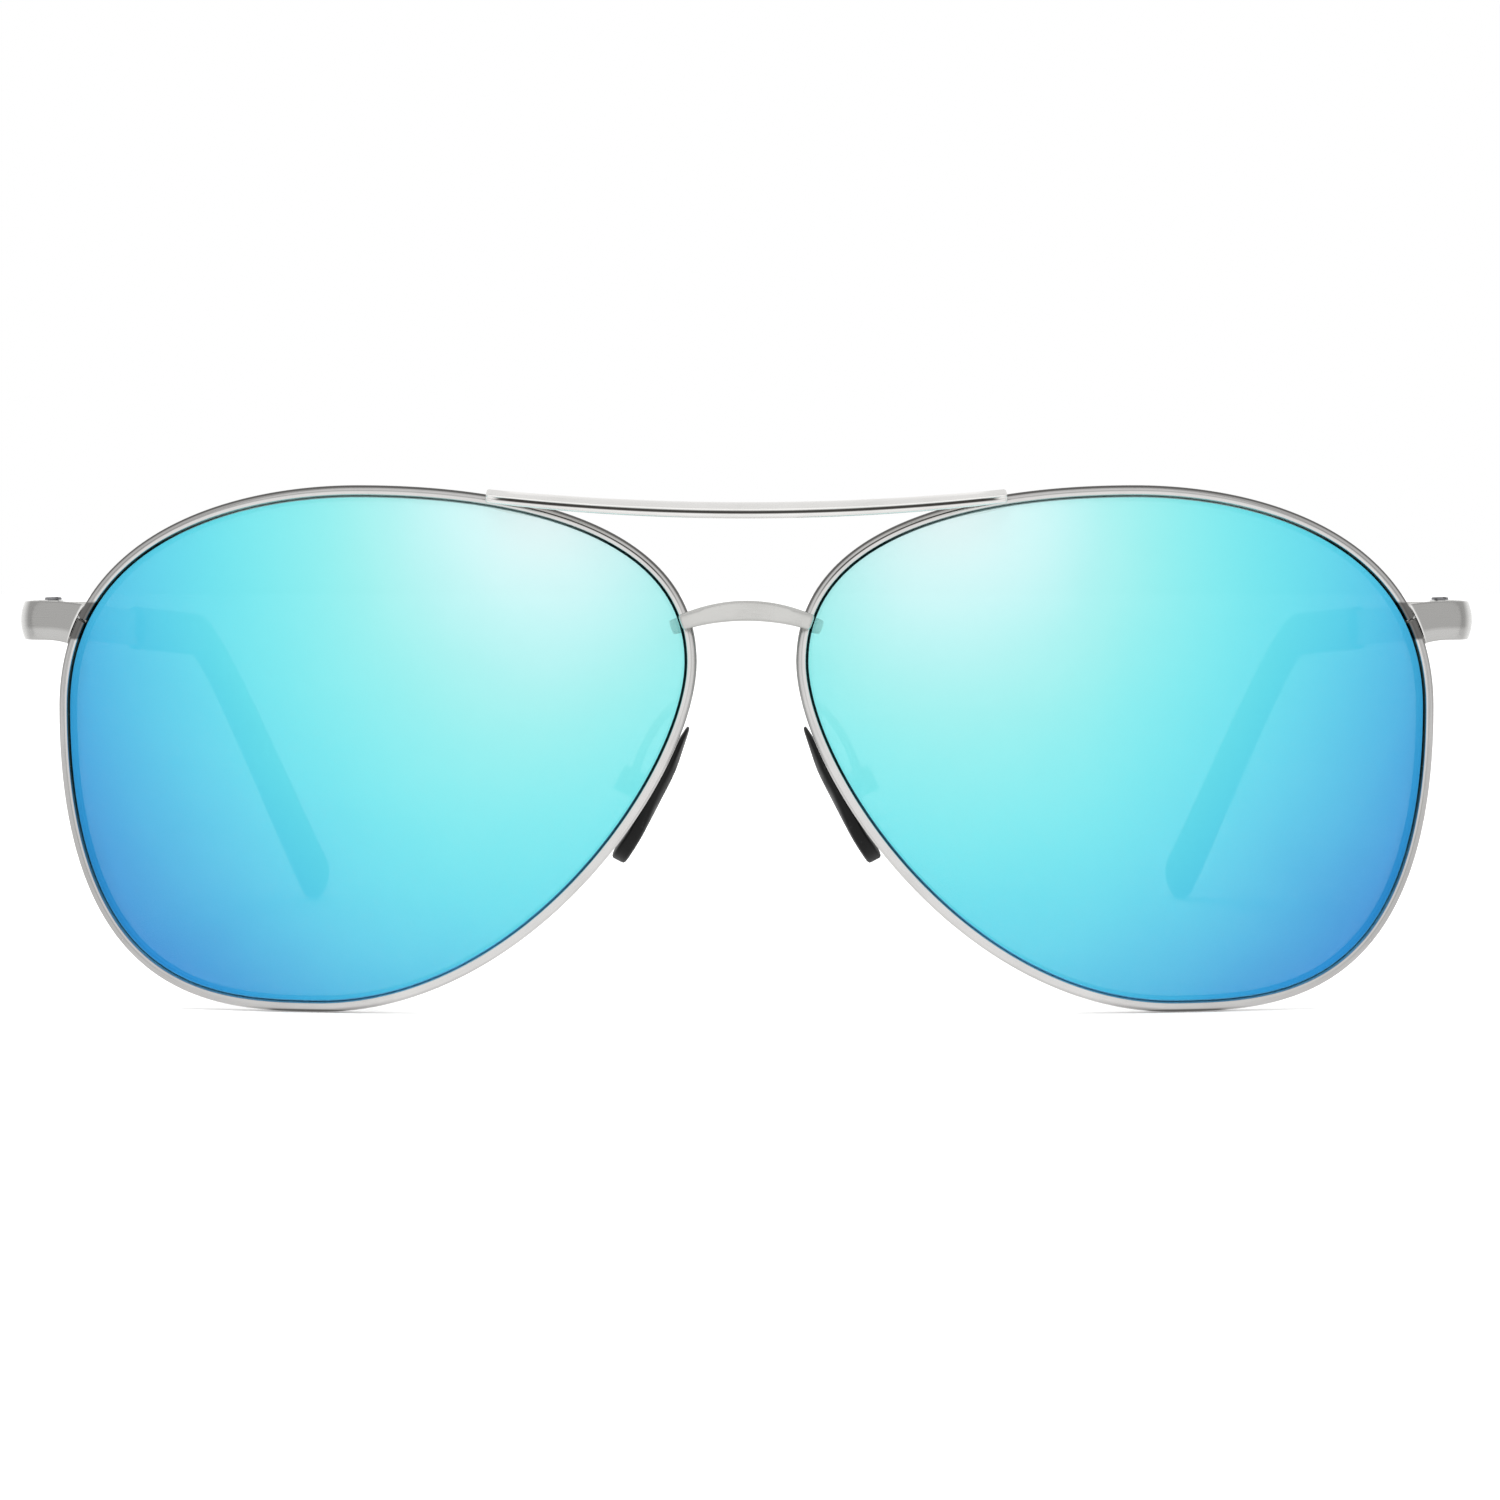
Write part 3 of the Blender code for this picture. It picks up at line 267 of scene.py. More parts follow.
def piece(name, shells, side, finishes, body, nodes, sharp=PIECE_SHARP):
    """Puts shells into one mesh, mirrored for the right side, and hangs it on its CAD body."""
    all_points, all_faces, all_numbers, all_grain = [], [], [], []
    first = 0
    for points, quads, fans, numbers, grain in shells:
        points = points * (side, 1.0, 1.0)
        quads, fans = turned_outward(points - points.mean(axis=0), quads, fans)
        all_points.append(points)
        all_faces += (quads + first).tolist() + (fans + first).tolist()
        all_numbers.append(numbers)
        all_grain.append(grain)
        first += len(points)
    mesh = bpy.data.meshes.new(name)
    mesh.from_pydata(np.concatenate(all_points).tolist(), [], all_faces)
    mesh.polygons.foreach_set("material_index", np.concatenate(all_numbers).astype(np.int32))
    lay_grain(mesh, np.concatenate(all_grain))
    finish(name, mesh, finishes, body, nodes, sharp)


def lay_grain(mesh, values):
    """Stores the grain, in millimetres, as a vector at each point of the mesh."""
    attribute = mesh.attributes.new("grain", "FLOAT_VECTOR", "POINT")
    attribute.data.foreach_set("vector", (values / MM).astype(np.float32).ravel())


def finish(name, mesh, finishes, body, nodes, sharp):
    """Makes the object of a mesh with its materials and body, and hides the CAD nodes it stands
    for.
    """
    mesh.shade_smooth()
    mesh.set_sharp_from_angle(angle=math.radians(sharp))
    made = bpy.data.objects.new(name, mesh)
    bpy.context.scene.collection.objects.link(made)
    for entry in finishes:
        mesh.materials.append(entry)
    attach(made, body)
    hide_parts(*nodes)
    return made


def softened(node, width, finishes, body):
    """Stands for a CAD node by a copy with its points merged, flats joined and edges rounded."""
    shape = bmesh.new()
    shape.from_mesh(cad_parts[node].data)
    bmesh.ops.remove_doubles(shape, verts=shape.verts, dist=0.002 * MM)
    bmesh.ops.dissolve_limit(
        shape, angle_limit=math.radians(1.0), verts=shape.verts, edges=shape.edges
    )
    mesh = bpy.data.meshes.new(f"{node}_soft")
    shape.to_mesh(mesh)
    shape.free()
    co = np.empty(len(mesh.vertices) * 3, np.float32)
    mesh.vertices.foreach_get("co", co)
    lay_grain(mesh, co.reshape(-1, 3)[:, (2, 1, 0)])
    made = finish(f"{node}_soft", mesh, finishes, body, (node,), 180.0)
    bevel = made.modifiers.new("Edges", "BEVEL")
    bevel.width = width
    bevel.segments = 2
    bevel.limit_method = "ANGLE"
    bevel.angle_limit = math.radians(40.0)
    bevel.harden_normals = True


# ---- materials ----


def feed(target, inputs):
    """Links or sets a node's inputs. A node or a socket knows its tree as its id_data."""
    for name, value in inputs.items():
        if isinstance(value, bpy.types.NodeSocket):
            target.id_data.links.new(value, target.inputs[name])
        else:
            target.inputs[name].default_value = value


def node(tree, kind, inputs=(), **settings):
    """Adds a node with its own settings and its inputs."""
    made = tree.nodes.new(kind)
    for name, value in settings.items():
        setattr(made, name, value)
    feed(made, dict(inputs))
    return made


def noise(vector, scale, detail=2.0, distortion=0.0):
    """A noise texture's value."""
    inputs = {"Vector": vector, "Scale": scale, "Detail": detail, "Distortion": distortion}
    return node(vector.id_data, "ShaderNodeTexNoise", inputs).outputs["Fac"]


def spread(value, low, high, to_low=0.0, to_high=1.0):
    """A value from low to high carried to to_low to to_high, and held at the ends."""
    labels = ("Value", "From Min", "From Max", "To Min", "To Max")
    inputs = dict(zip(labels, (value, low, high, to_low, to_high)))
    return node(value.id_data, "ShaderNodeMapRange", inputs).outputs["Result"]


def maths(operation, first, second=0.0):
    """One step of arithmetic."""
    inputs = {0: first, 1: second}
    return node(first.id_data, "ShaderNodeMath", inputs, operation=operation).outputs[0]


def parts_of(vector):
    """The X, Y and Z of a vector."""
    return node(vector.id_data, "ShaderNodeSeparateXYZ", {0: vector}).outputs


def product(*values):
    """Values multiplied together."""
    return functools.reduce(lambda first, second: maths("MULTIPLY", first, second), values)


def largest(*values):
    """The largest of some values."""
    return functools.reduce(lambda first, second: maths("MAXIMUM", first, second), values)


def gap(first, second):
    """How far apart two values are."""
    return maths("ABSOLUTE", maths("SUBTRACT", first, second))


def line_at(value, centre, half_width):
    """A soft line: 1 where the value is centre, falling to 0 half_width away."""
    return spread(gap(value, centre), 0.25 * half_width, half_width, 1.0, 0.0)


# A Mix node's sockets for colours: its share, its two colours and its result.
MIX_SHARE, MIX_FIRST, MIX_SECOND, MIX_RESULT = 0, 6, 7, 2


def mixed(share, first, second):
    """Two colours mixed by a share."""
    inputs = {MIX_SHARE: share, MIX_FIRST: first, MIX_SECOND: second}
    return node(share.id_data, "ShaderNodeMix", inputs, data_type="RGBA").outputs[MIX_RESULT]


def stretched(vector, scale):
    """A vector stretched by a Mapping node."""
    inputs = {"Vector": vector, "Scale": scale}
    return node(vector.id_data, "ShaderNodeMapping", inputs).outputs["Vector"]


# The colour painted on metal where shade falls.
SHADE_PAINT_COLOUR = (0.05, 0.048, 0.044)

# Polishing lines run twenty times as long as they are wide, and scratches lie across them.
LINES_STRETCH = (0.05, 1.0, 1.0)
SCRATCH_STRETCH = (0.55, 0.25, 0.25)
SCRATCH_DEPTH = 0.8
LINE_DENSITY = 14.0
SCRATCH_AMOUNT = 0.012


def handling_marks():
    """Polishing lines that follow the grain, hairline scratches across it, and finger marks.

    Lines and Hairlines are 0 to 1 masks, Marks is a slow 0 to 1 blotch, Height feeds a bump.
    """
    tree = bpy.data.node_groups.new("handling_marks", "ShaderNodeTree")
    tree.interface.new_socket("Vector", in_out="INPUT", socket_type="NodeSocketVector")
    for label, value in (("Line Density", LINE_DENSITY), ("Scratch Amount", SCRATCH_AMOUNT)):
        socket = tree.interface.new_socket(label, in_out="INPUT", socket_type="NodeSocketFloat")
        socket.default_value = value
    for label in ("Lines", "Hairlines", "Marks", "Height"):
        tree.interface.new_socket(label, in_out="OUTPUT", socket_type="NodeSocketFloat")
    given = node(tree, "NodeGroupInput").outputs
    result = node(tree, "NodeGroupOutput")
    vector = given["Vector"]
    along = stretched(vector, LINES_STRETCH)
    lines = noise(along, given["Line Density"], 3.0)
    crossing = stretched(vector, SCRATCH_STRETCH)
    curve = noise(crossing, 1.7, 1.0, 0.6)
    hairlines = spread(gap(curve, 0.5), 0.0, given["Scratch Amount"], 1.0, 0.0)
    broken = spread(noise(vector, 0.9, 1.0), 0.5, 0.62)
    hairlines = product(hairlines, broken)
    marks = spread(noise(vector, 0.22, 3.0, 0.4), 0.35, 0.7)
    height = maths("SUBTRACT", lines, product(hairlines, SCRATCH_DEPTH))
    for socket, value in zip(result.inputs, (lines, hairlines, marks, height)):
        tree.links.new(value, socket)
    return tree


def material(name):
    """A new material: its Principled shader, and the grain and object vectors."""
    made = bpy.data.materials.new(name)
    made.use_nodes = True
    tree = made.node_tree
    shader = tree.nodes["Principled BSDF"]
    grain = node(tree, "ShaderNodeAttribute", attribute_name="grain").outputs["Vector"]
    place = node(tree, "ShaderNodeTexCoord").outputs["Object"]
    return made, shader, grain, place


HANDLING = handling_marks()


def marked(vector, density=LINE_DENSITY, scratches=SCRATCH_AMOUNT):
    """The handling marks laid on a vector."""
    inputs = {"Vector": vector, "Line Density": density, "Scratch Amount": scratches}
    return node(vector.id_data, "ShaderNodeGroup", inputs, node_tree=HANDLING).outputs


def bumped(shader, height, strength, distance):
    """Turns a height into the shader's normal."""
    inputs = {"Height": height, "Strength": strength, "Distance": distance}
    made = node(height.id_data, "ShaderNodeBump", inputs)
    feed(shader, {"Normal": made.outputs["Normal"]})


def metal(name, bright, dull, smooth, rough, bump, painted_shade=None, dark=SHADE_PAINT_COLOUR):
    """A plated or turned metal, with polishing lines, hairline scratches and finger marks.

    The mask argument, where given, returns a 0 to 1 mask of where shade and reflections are painted
    dark, in the colour dark.
    """
    made, shader, grain, place = material(name)
    marks = marked(grain)
    wear_and_painted_shade = product(marks["Marks"], spread(marks["Lines"], 0.2, 0.8))
    colour = mixed(wear_and_painted_shade, (*bright, 1.0), (*dull, 1.0))
    # Painted shade and painted reflections: the mask mixes the dark colour into the metal's own.
    if painted_shade:
        colour = mixed(painted_shade(grain, place), colour, (*dark, 1.0))
    lines = spread(marks["Lines"], 0.25, 0.75, smooth, rough)
    smudged = product(marks["Marks"], 0.5 * (rough - smooth))
    scratched = product(marks["Hairlines"], 0.12)
    roughness = maths("ADD", maths("ADD", lines, smudged), scratched)
    feed(shader, {"Base Color": colour, "Roughness": roughness, "Metallic": 1.0})
    bumped(shader, marks["Height"], bump, 0.01 * MM)
    return made


# A rim's painted shade and painted reflections: the two measures that fade each one in, from where
# to where, and how dark it is.
# side is the distance from the middle, level the height, foot and end the distances from the rim's
# foot and the end piece's middle line, and section the place across the section, in mm.
UPPER_HALF = (24.0 * MM, 42.0 * MM)
RIM_MARKS = {
    # outer and outline are dark painted reflections on the upper outer band and its edge, near_bar
    # is painted shadow under the brow bar, the lower quadrant towards the temple is painted shade,
    # foot is painted shade on the outer band in line with the foot, ground is a painted contact
    # shadow where the rim stands, and beside_end is painted shade beside the end piece.
    "outer": ("section", (-0.2, 0.2), "level", UPPER_HALF, 0.42),
    "outline": ("section", (0.12, 0.26), "level", UPPER_HALF, 0.86),
    "near_bar": ("side", (27.0 * MM, 25.0 * MM), "level", (38.0 * MM, 44.0 * MM), 1.0),
    "wear_and_painted_shade": ("side", (34.0 * MM, 46.0 * MM), "level", (36.0 * MM, 16.0 * MM), 0.2),
    "foot": ("foot", (9.0 * MM, 4.0 * MM), "section", (-0.1, 0.25), 0.5),
    "ground": ("foot", (5.2 * MM, 3.6 * MM), "level", (0.38 * MM, 0.24 * MM), 0.88),
    "beside_end": ("side", (60.0 * MM, 61.0 * MM), "end", (2.0 * MM, 1.75 * MM), 0.82),
}
# The painted shade along the crease: how dark, and its half width in mm, and the front face it is
# painted on.
CREASE_DARK = 0.4
CREASE_HALF_WIDTH = 0.13
FRONT_FACE = (0.1, 0.3)


def rim_painted_shade(grain, place):
    """Where a rim is painted dark for shade and reflections: painted shade in the crease and under
    the bar, dark painted reflections on the outer band above, painted shade low by the temple and
    in line with the foot, a painted contact shadow where it stands, and painted shade beside the
    end piece.
    """
    section, position = parts_of(grain), parts_of(place)
    side = maths("ABSOLUTE", position["X"])
    measures = {
        "side": side,
        "level": position["Z"],
        "section": section["Y"],
        "foot": gap(side, FOOT_X),
        "end": gap(position["Z"], HINGE_MIDDLE),
    }
    marks = {}
    for name, (first, span, second, other_span, dark) in RIM_MARKS.items():
        fades = spread(measures[first], *span), spread(measures[second], *other_span)
        marks[name] = product(*fades, dark)
    crease = line_at(section["Y"], RIM_CREASE / MM, CREASE_HALF_WIDTH)
    upper = product(spread(position["Z"], *UPPER_HALF), CREASE_DARK)
    crease = product(crease, largest(upper, marks["near_bar"]))
    front = spread(section["Z"], *FRONT_FACE)
    facing = product(front, largest(crease, marks["outer"], marks["outline"]))
    return largest(facing, *(marks[k] for k in ("wear_and_painted_shade", "foot", "ground", "beside_end")))


# The bar's and the end piece's painted shade and painted reflections, by place in the section or
# distance along, in mm.
BAR_GROOVE_AT = -0.2 * MM
GROOVE_HALF_WIDTH = 0.2
BAR_FACE_BAND = (0.0, 0.2)
END_LOWER_THIRD = (-0.95, -0.55)
END_LOWER_DARK = 0.62
END_BEND_BAND = (4.8, 5.5)
END_FILED_BAND = (0.3, 0.42)


def bar_painted_reflection(grain, place):
    """A painted dark reflection along the groove in the brow bar's face."""
    section = parts_of(grain)
    groove = line_at(section["Z"], BAR_GROOVE_AT / MM, GROOVE_HALF_WIDTH)
    return product(groove, spread(section["Y"], *BAR_FACE_BAND))


def end_painted_shade(grain, place):
    """Painted shade on an end piece: its upper part painted dark, its lower third less so as a
    painted reflection of the floor, and its filed end and the part past the bend left bright.
    """
    section = parts_of(grain)
    upper = spread(section["Z"], *END_LOWER_THIRD, END_LOWER_DARK, 1.0)
    bend = spread(section["X"], *END_BEND_BAND, 1.0, 0.0)
    return product(upper, spread(section["X"], *END_FILED_BAND), bend)


def moulded(name, colour, worn_colour, smooth, rough, texture, bump, specular):
    """A moulded polymer: a fine pebbled skin, slow shade changes and lighter rubbed patches."""
    made, shader, grain, place = material(name)
    fine = noise(place, texture / MM, 2.0)
    slow = spread(noise(place, 0.25 / MM, 3.0, 0.3), 0.4, 0.72)
    marks = marked(grain, 5.0, 0.02)
    wear_and_painted_shade = largest(product(slow, 0.6), marks["Hairlines"])
    shown = mixed(wear_and_painted_shade, (*colour, 1.0), (*worn_colour, 1.0))
    roughness = spread(maths("ADD", fine, slow), 0.5, 1.5, smooth, rough)
    inputs = {"Base Color": shown, "Roughness": roughness, "Specular IOR Level": specular}
    feed(shader, inputs)
    bumped(shader, fine, bump, 0.02 * MM)
    return made


# The mirror's colours by distance from a painted highlight high and towards the nose: the coating's
# blue, paled towards silver-cyan near the spot by a painted reflection of a bright light.
MIRROR_HIGHLIGHT_SPOT = (20.0 * MM, 52.0 * MM)
MIRROR_REACH = 60.0 * MM
MIRROR_SQUASH = 0.85
MIRROR_UNEVENNESS = 0.06
MIRROR_COLOURS = (
    (0.00, (0.82, 0.91, 0.91)),
    (0.17, (0.52, 0.862, 0.862)),
    (0.30, (0.313, 0.81, 0.79)),
    (0.42, (0.207, 0.776, 0.80)),
    (0.54, (0.128, 0.71, 0.787)),
    (0.66, (0.092, 0.602, 0.772)),
    (0.78, (0.054, 0.462, 0.73)),
    (0.90, (0.02, 0.284, 0.65)),
    (1.00, (0.015, 0.205, 0.59)),
)
DUST_COLOUR = (0.6, 0.75, 0.8, 1.0)
FILM_FROM_BEHIND = (0.035, 0.045, 0.05, 1.0)
# Heights over which the lens edge gets its painted light below and its painted highlight above.
EDGE_LIT_BELOW = (24.0 * MM, 6.0 * MM)
EDGE_HIGHLIGHT_ABOVE = (46.5 * MM, 50.0 * MM)


def mirror_coating():
    """The front of a mirrored lens: a blue metal film, with a painted reflection of a bright light
    that pales it to silver-cyan high and towards the nose and leaves it deep blue low by the
    temple.
    """
    made, shader, _, place = material("mirror_coating")
    position = parts_of(place)
    # The painted highlight: distance from its spot, squashed in height.
    across = maths("SUBTRACT", maths("ABSOLUTE", position["X"]), MIRROR_HIGHLIGHT_SPOT[0])
    rise = maths("SUBTRACT", position["Z"], MIRROR_HIGHLIGHT_SPOT[1])
    rise = product(rise, MIRROR_SQUASH)
    squared = maths("ADD", product(across, across), product(rise, rise))
    distance = maths("DIVIDE", maths("SQRT", squared), MIRROR_REACH)
    uneven = maths("SUBTRACT", noise(place, 0.045 / MM, 2.0, 0.5), 0.5)
    distance = maths("ADD", distance, product(uneven, MIRROR_UNEVENNESS))
    ramp = node(made.node_tree, "ShaderNodeValToRGB", {"Fac": distance})
    ramp.color_ramp.interpolation = "B_SPLINE"
    stops = ramp.color_ramp.elements
    while len(stops) < len(MIRROR_COLOURS):
        stops.new(0.5)
    for stop, (at, colour) in zip(stops, MIRROR_COLOURS):
        stop.position = at
        stop.color = (*colour, 1.0)
    # Wiping leaves faint curved streaks and a little dust, which only change the gloss.
    wiped = noise(stretched(place, (1.0, 1.0, 0.35)), 0.12 / MM, 4.0, 1.5)
    dust = spread(noise(place, 5.0 / MM, 1.0), 0.76, 0.84)
    colour = mixed(product(dust, 0.25), ramp.outputs["Color"], DUST_COLOUR)
    inside = node(made.node_tree, "ShaderNodeNewGeometry").outputs["Backfacing"]
    colour = mixed(inside, colour, FILM_FROM_BEHIND)
    streaks = spread(wiped, 0.4, 0.7, 0.05, 0.13)
    gloss = maths("ADD", streaks, product(dust, 0.15))
    inputs = {"Base Color": colour, "Roughness": gloss, "Metallic": 0.8, "Alpha": 0.94}
    feed(shader, inputs)
    return made


def lens_tint():
    """The wearer's side of the lens: smoke-grey tinted plastic, glossy and partly clear."""
    made, shader, _, place = material("lens_tint")
    haze = noise(place, 0.05 / MM, 3.0, 0.4)
    smoke = mixed(haze, (0.020, 0.026, 0.030, 1.0), (0.045, 0.052, 0.056, 1.0))
    gloss = spread(haze, 0.3, 0.7, 0.03, 0.09)
    feed(shader, {"Base Color": smoke, "Roughness": gloss, "Alpha": 0.5})
    return made


def lens_rim_edge():
    """The ground edge of the lens: deep teal, matt from grinding, with painted light: a brighter
    blue towards the bottom and a pale painted highlight near the top.
    """
    made, shader, _, place = material("lens_edge")
    ground = noise(place, 3.0 / MM, 2.0)
    dark = mixed(ground, (0.003, 0.030, 0.032, 1.0), (0.010, 0.060, 0.065, 1.0))
    height = parts_of(place)["Z"]
    # Painted light on the edge: brighter blue low down, pale near the top.
    lit = spread(height, *EDGE_LIT_BELOW, 0.0, 0.85)
    colour = mixed(lit, dark, (0.16, 0.60, 1.0, 1.0))
    pale = spread(height, *EDGE_HIGHLIGHT_ABOVE, 0.0, 0.9)
    colour = mixed(pale, colour, (0.42, 0.62, 0.62, 1.0))
    matt = spread(ground, 0.3, 0.7, 0.25, 0.5)
    feed(shader, {"Base Color": colour, "Roughness": matt})
    return made


# A metal's last colour, where given, is the dark its mask paints: painted shade on the rim and the
# end piece, a painted dark reflection on the brow bar.
SILVER = metal("satin_silver", (0.66, 0.655, 0.635), (0.56, 0.555, 0.535), 0.14, 0.26, 0.1)
RIM_SILVER = metal(
    "polished_silver", (0.73, 0.72, 0.71), (0.64, 0.63, 0.62), 0.08, 0.18, 0.08, rim_painted_shade
)
BAR_SILVER = metal(
    "grooved_silver", (0.93, 0.92, 0.90), (0.84, 0.83, 0.81), 0.08, 0.2, 0.08, bar_painted_reflection,
    (0.10, 0.096, 0.09),
)
END_SILVER = metal(
    "brushed_silver", (0.86, 0.855, 0.84), (0.78, 0.775, 0.76), 0.16, 0.3, 0.12, end_painted_shade,
    (0.385, 0.38, 0.37),
)
STEEL = metal("screw_steel", (0.30, 0.30, 0.31), (0.18, 0.18, 0.19), 0.2, 0.38, 0.25)
COATING = mirror_coating()
TINT = lens_tint()
EDGE = lens_rim_edge()
SILICONE = moulded(
    "black_silicone", (0.003, 0.003, 0.003), (0.014, 0.014, 0.014), 0.36, 0.62, 6.0, 0.25, 0.22
)
TIP_PLASTIC = moulded(
    "black_plastic", (0.006, 0.006, 0.007), (0.02, 0.02, 0.022), 0.12, 0.32, 2.5, 0.06, 0.5
)
NYLON = moulded("clear_nylon", (0.74, 0.73, 0.68), (0.58, 0.56, 0.5), 0.3, 0.5, 8.0, 0.1, 0.5)


# ---- fronts ----

RIM_COLUMNS = 300
RIM_SLOPE = 0.12 * MM
RIM_CORNER = 0.34


def rim_section():
    """The eyewire's section, as (away from the lens, to the front) pairs.

    A flat front lip beside the lens, a face that slopes a little to a well rounded corner, a flat
    outside, the same at the back, and a V groove on the lens's side.
    """
    half = RIM_DEPTH / 2
    front = [
        (-RIM_LIP, 0.35 * MM),
        (-RIM_LIP, half),
        (RIM_CREASE, half),
        (RIM_OUTSIDE, half - RIM_SLOPE),
    ]
    back = [(away, -forward) for away, forward in reversed(front)]
    corners = front + back + [(GROOVE_CLEARANCE, 0.0)]
    beside_lens = (0.05, 0.16, 0.2)
    radii = np.array((*beside_lens, RIM_CORNER, RIM_CORNER, *beside_lens[::-1], 0.05)) * MM
    return filleted(corners, radii, 4)


def rim_points(count):
    """The rim's section carried round the stations: P + away * outward + front * forward."""
    point, outward, forward = rim_stations(count)
    section = rim_section()
    return point[:, None] + section[:, :1] * outward[:, None] + section[:, 1:] * forward[:, None]


LENS_FRONT_EASE = 0.16 * MM
LENS_FRONT_DROP = 0.17 * MM
LENS_BACK_EASE = 0.12 * MM
BEVEL_HALF_WIDTH = 0.28 * MM
BEVEL_SHORT = 0.03 * MM


def lens_shells():
    """A domed lens: rings from the front's middle to the edge, round the bevel, and back.

    A ring at share s of the way out is the dome at centre + s * (edge - centre).
    """
    point, outward, forward = rim_stations(240)
    wall = RIM_LIP + SEAM
    half = LENS_THICKNESS / 2
    centre = np.array((LENS_CENTRE_X, LENS_CENTRE_Z))
    shares = np.linspace(0.04, 1.0, 26)

    def face(level, inset):
        """The rings of one face, ending inset inside the wall."""
        edge = point - (wall + inset) * outward + level * forward
        flat = centre + shares[:, None, None] * (edge[None, :, (0, 2)] - centre)
        return on_dome(flat[..., 0], flat[..., 1], level)

    front = face(half, LENS_FRONT_EASE)
    back = face(-half, LENS_BACK_EASE)[::-1]
    around = [
        point - inset * outward + level * forward
        for inset, level in (
            (wall, half - LENS_FRONT_DROP),
            (wall, BEVEL_HALF_WIDTH),
            (BEVEL_SHORT, 0.0),
            (wall, -BEVEL_HALF_WIDTH),
            (wall, LENS_BACK_EASE - half),
        )
    ]
    rings = np.concatenate([front, around, back])
    bands = [0] * (len(front) - 1) + [1] * (len(around) + 1) + [2] * (len(back) - 1)
    return [shell(rings, bands=bands)]


def rim_side(heights):
    """How far out the rim reaches at each height, on the temple's side."""
    surface = rim_points(160)
    outermost = surface[surface[:, 0, 0] > LENS_CENTRE_X]
    reach = outermost[np.arange(len(outermost)), outermost[:, :, 0].argmax(axis=1)]
    reach = reach[np.argsort(reach[:, 2])]
    return np.interp(heights, reach[:, 2], reach[:, 0])


# A bar's face from its top to its bottom: the height as a share of half its tallness, how far it
# lies behind the foremost line, and the rounding, in mm.
BROW_FACE = (
    (1.0, 1.0, 0.12),
    (0.55, 0.26, 0.2),
    (0.14, 0.0, 0.1),
    (0.00, 0.03, 0.03),
    (-0.24, 0.26, 0.06),
    (-0.46, 0.08, 0.03),
    (-1.0, 0.34, 0.2),
)
BRIDGE_FACE = (
    (1.0, 0.36, 0.2),
    (0.55, 0.09, 0.3),
    (0.0, 0.0, 0.4),
    (-0.55, 0.09, 0.3),
    (-1.0, 0.36, 0.2),
)
BACK_ROUNDING = 0.18
BAR_THINS_OVER = 2.4 * MM
BAR_END_SHARE = 0.42


def bar_section(thickness, tall, face):
    """A bar's (across, up) section: its face's corners, rounded, before a flat back."""
    up, behind, radius = np.array(face).T
    front = np.stack([thickness / 2 - behind * MM, up * tall / 2], axis=1)
    back = [(-thickness / 2, -tall / 2), (-thickness / 2, tall / 2)]
    radii = np.concatenate([radius, (BACK_ROUNDING, BACK_ROUNDING)]) * MM
    return filleted(np.vstack([front, back]), radii, 4)


def bar_shells(node, rise, tall, tall_end, thickness, face, end_round):
    """A bar across the front of the rims, symmetric about the middle.

    Height is the middle's plus rise * s^2 and the face bows back by bow * s^2, where s runs from
    -1 to 1. Its tallness runs from tall to tall_end with s^2, and its ends close in a quarter
    circle of end_round.
    """
    low, high = box_of(node)
    half_span = high[0]
    bow = (high[1] - low[1]) - thickness
    inner = np.linspace(-1.0, 1.0, 73) * (half_span - end_round)
    turn = np.radians((25.0, 50.0, 72.0, 88.0))
    outer = half_span - end_round * (1 - np.sin(turn))
    x = np.concatenate([-outer[::-1], inner, outer])
    share = (x / half_span) ** 2
    edge = np.clip((np.abs(x) - (half_span - end_round)) / end_round, 0.0, 1.0)
    closing = 0.55 + 0.45 * np.sqrt(1 - edge**2)
    middle = high[2] - tall / 2 if rise < 0 else low[2] + tall / 2
    y = high[1] - thickness / 2 - bow * (1 - share)
    path = np.stack([x, y, middle + rise * share], axis=1)
    taper = tall + (tall_end - tall) * share
    whole = np.array([bar_section(thickness, t, face) for t in taper])
    sections = whole * closing[:, None, None]
    thinned = np.interp(np.abs(x), (half_span - BAR_THINS_OVER, half_span), (1.0, BAR_END_SHARE))
    thinned = (thinned * closing)[:, None]
    sections[..., 0] = (whole[..., 0] + thickness / 2) * thinned - thickness / 2
    rings = sweep(path, sections)
    rings[..., 1] = np.minimum(rings[..., 1], high[1])
    return [shell(rings, sections)]


# ---- end pieces and temples ----

SCREW_LOW, SCREW_HIGH = box_of("left_hinge_screw")
HINGE_Y = (SCREW_LOW[1] + SCREW_HIGH[1]) / 2
END_LOW, END_HIGH = box_of("left_endpiece")
STRIP_OUTER_X = END_HIGH[0]
END_BEND = 2.5 * MM
END_DIP = 0.4 * MM
END_CROWN = 0.42 * MM
BUTT_GAP = 0.2 * MM


def strip_section(crown, thickness=STRIP_THICKNESS, tall=STRIP_TALL, radius=0.16 * MM):
    """A strip's section: a flat inside and an outside at half the thickness less crown * (up)^2."""
    up = np.linspace(-1.0, 1.0, 9)
    face = np.stack([thickness / 2 - crown * up**2, up * tall / 2], axis=1)
    back = [(-thickness / 2, tall / 2), (-thickness / 2, -tall / 2)]
    radii = np.array([radius / MM] + [0.01] * 7 + [radius / MM, 0.14, 0.14]) * MM
    return filleted(np.vstack([face, back]), radii, 3)


